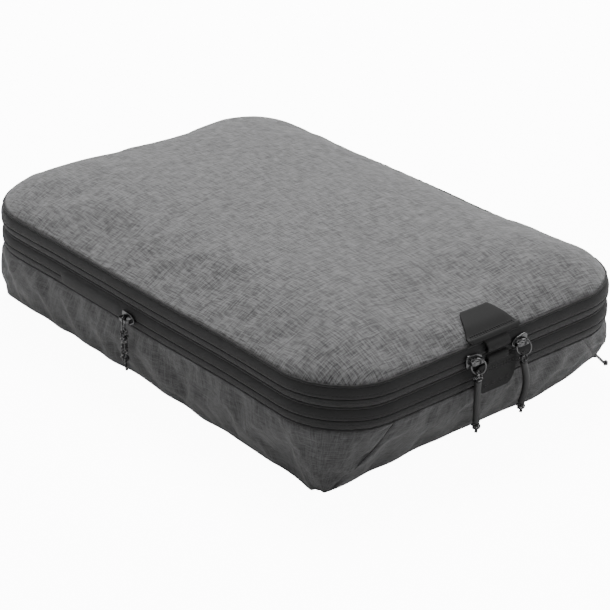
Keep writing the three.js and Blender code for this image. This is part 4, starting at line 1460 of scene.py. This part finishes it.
def pull_sleeve(bow):
    """A rubber tube, bowed forward by bow, with slightly flared and rounded ends."""
    points = []
    for t in steps(0, 1, 26):
        points.append((0, -bow * sin(pi * t), SLEEVE_TOP + (SLEEVE_END - SLEEVE_TOP) * t))

    def radius(t):
        end = min(t, 1 - t) * 26
        flare = 0.22 * exp(-(end / 1.6) ** 2)
        return (2.02 + flare - 0.5 * exp(-(end / 0.25) ** 2)) * MM

    return tube("sleeve", points, radius, 18)


def compression_cord():
    """Two strands between a knot at the eye and one near the end, with one tail."""
    top, end = EYE - 3.6 * MM, EYE - 17 * MM
    top_knot = knot("top", (0, 0, top), 2.8 * MM, 3.8 * MM, 0.0, STRAND_R)
    end_knot = knot("end", (0, 0, end - 0.6 * MM), 2.8 * MM, 4.8 * MM, 0.6, STRAND_R)
    strands = [strand_through("strand", [(side * 1.0, 0, top),
                                         (side * 1.1, side * 0.6, (top + end) / 2),
                                         (side * 1.0, 0, end)], 16, 1.0 * MM) for side in (-1, 1)]
    tail = strand_through("tail", [(0, 0, end - 2 * MM), (0.5, 0, end - 5 * MM),
                                   (0.9, 0.4, end - 8.4 * MM)], 8)
    return joined("cord", [cord_eye(EYE), top_knot, end_knot, tail] + strands)


def pivot_of(joint):
    found = [j for j in frame["record"]["behaviour"]["joints"] if j["name"] == joint]
    return Vector(found[0]["pos_m"])


LINK_TURN = pi / 4  # a link hangs half way between along and across its zip
for side, bow in (("main_left", 0.0), ("main_right", 2.3 * MM)):
    pivot = pivot_of(side + "_pull_swing")
    link = laid(wire_link(side + "_wire_link"), pivot, LINK_TURN)
    settle_in(link, side + "_pull", "slider_metal", gunmetal, side + "_pull_link")
    cord = laid(main_cord(), pivot, LINK_TURN)
    cord.name = side + "_knotted_cord"
    settle_in(cord, side + "_pull", "pull_cord", cord_braid, side + "_pull_cord")
    sleeve = laid(pull_sleeve(bow), pivot, LINK_TURN)
    sleeve.name = side + "_sleeve"
    settle_in(sleeve, side + "_pull", "pull_sleeve", sleeve_rubber, side + "_pull_sleeve")
pivot = pivot_of("compression_pull_swing")
link = laid(wire_link("compression_wire_link"), pivot, LINK_TURN - pi / 2)
settle_in(link, "compression_pull", "slider_metal", gunmetal, "compression_pull_link")
cord = laid(compression_cord(), pivot, LINK_TURN - pi / 2)
cord.name = "compression_knotted_cord"
settle_in(cord, "compression_pull", "pull_cord", cord_braid, "compression_pull_cord")
print("links and pulls hung")

# %% [markdown]
# The side zip's pull is a thin limp cord with no sleeve. It drops from its knot to the surface
# the cube stands on and lies there along the wall.

# %% Side pull
link = laid(wire_link("side_wire_link"), side_pivot, LINK_TURN + pi / 2)
settle_in(link, "side_runner", "slider_metal", gunmetal, "side_pull_link")
head_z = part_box("side_pull_head_knot")[0][2] + 1.7 * MM
eye = laid(cord_eye(0), Vector((side_pivot.x, side_slider_y, side_pivot.z + EYE)), LINK_TURN + pi)
head = knot("head", (side_pivot.x, side_slider_y, head_z), 1.7 * MM, 3.0 * MM, 0.0, 0.62 * MM)
head = joined("side_head_knot", [eye, head])
settle_in(head, "side_runner", "pull_cord", cord_braid, "side_pull_head_knot")
CORD_R = 0.9 * MM
LYING = CORD_R + 0.2 * MM  # height of the cord's middle where it lies
ROUTE = ((0, 2.2, head_z - 0.2 * MM), (0.4, 7, 1.6 * MM), (-0.4, 16, LYING),
         (-2.6, 25, LYING), (-5.6, 33, LYING))  # right and forward of the slider in mm, height
route = smooth_path([(side_pivot.x + right * MM, side_slider_y - forward * MM, z)
                     for right, forward, z in ROUTE], 32)
side_cord = tube("side_pull_limp_cord", route, CORD_R, 8)
settle_in(side_cord, "side_runner", "pull_cord", cord_braid, "side_pull_cord")
end_low, end_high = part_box("side_pull_end_knot")
end_middle = [(low + high) / 2 for low, high in zip(end_low, end_high)]
end_knot = knot("side_end_knot", end_middle, 1.85 * MM, 3.4 * MM, 0.0, 0.7 * MM)
settle_in(end_knot, "side_runner", "pull_cord", cord_braid, "side_pull_end_knot")

# %% [markdown]
# The cube stands on a plain pale floor in soft light: one broad light above and behind that
# makes the lid the brightest face, two weak ones from the front right and the left, and an even
# surround. Floor and surround are much brighter to the camera than to the cube, so they show
# as white without washing out the dark walls.

# %% Floor and lights
SHOWN_GLOW = 11.0  # added brightness of floor and surround, to the camera only
SURROUND = 0.40  # brightness of the surround to everything else
LIGHT_WIDE = 1.2

bm = bmesh.new()
bmesh.ops.create_grid(bm, x_segments=2, y_segments=2, size=6.0)
floor = piece_from(bm, "studio_floor")
floor_material, floor_tree, floor_bsdf = fresh_material("pale_floor", 0.9, specular=0.1)
floor_bsdf.inputs["Base Color"].default_value = (0.93, 0.93, 0.93, 1)
rays = floor_tree.nodes.new("ShaderNodeLightPath")
glow = math_node(floor_tree, "MULTIPLY", rays.outputs["Is Camera Ray"], SHOWN_GLOW)
floor_tree.links.new(glow, floor_bsdf.inputs["Emission Strength"])
floor_bsdf.inputs["Emission Color"].default_value = (1, 1, 1, 1)
floor.data.materials.append(floor_material)


def soft_light(name, place, power):
    lamp = bpy.data.lights.new(name, "AREA")
    lamp.shape = "DISK"
    lamp.size = LIGHT_WIDE
    lamp.energy = power
    holder = bpy.data.objects.new(name, lamp)
    holder.location = place
    holder.rotation_mode = "QUATERNION"
    holder.rotation_quaternion = Vector(place).to_track_quat("Z", "Y")
    bpy.context.scene.collection.objects.link(holder)


soft_light("top_light", (0.75, 0.85, 1.65), 58)
soft_light("front_right_light", (1.1, -1.7, 0.8), 10.5)
soft_light("left_light", (-1.8, 0.3, 0.8), 6)
world = bpy.data.worlds.new("studio_surround")
world.use_nodes = True
world_tree = world.node_tree
background = world_tree.nodes["Background"]
background.inputs[0].default_value = (1, 1, 1, 1)
rays = world_tree.nodes.new("ShaderNodeLightPath")
brightness = math_node(world_tree, "MULTIPLY_ADD", rays.outputs["Is Camera Ray"], SHOWN_GLOW,
                       SURROUND)
world_tree.links.new(brightness, background.inputs[1])
bpy.context.scene.world = world
print("lights:", len(bpy.data.lights))
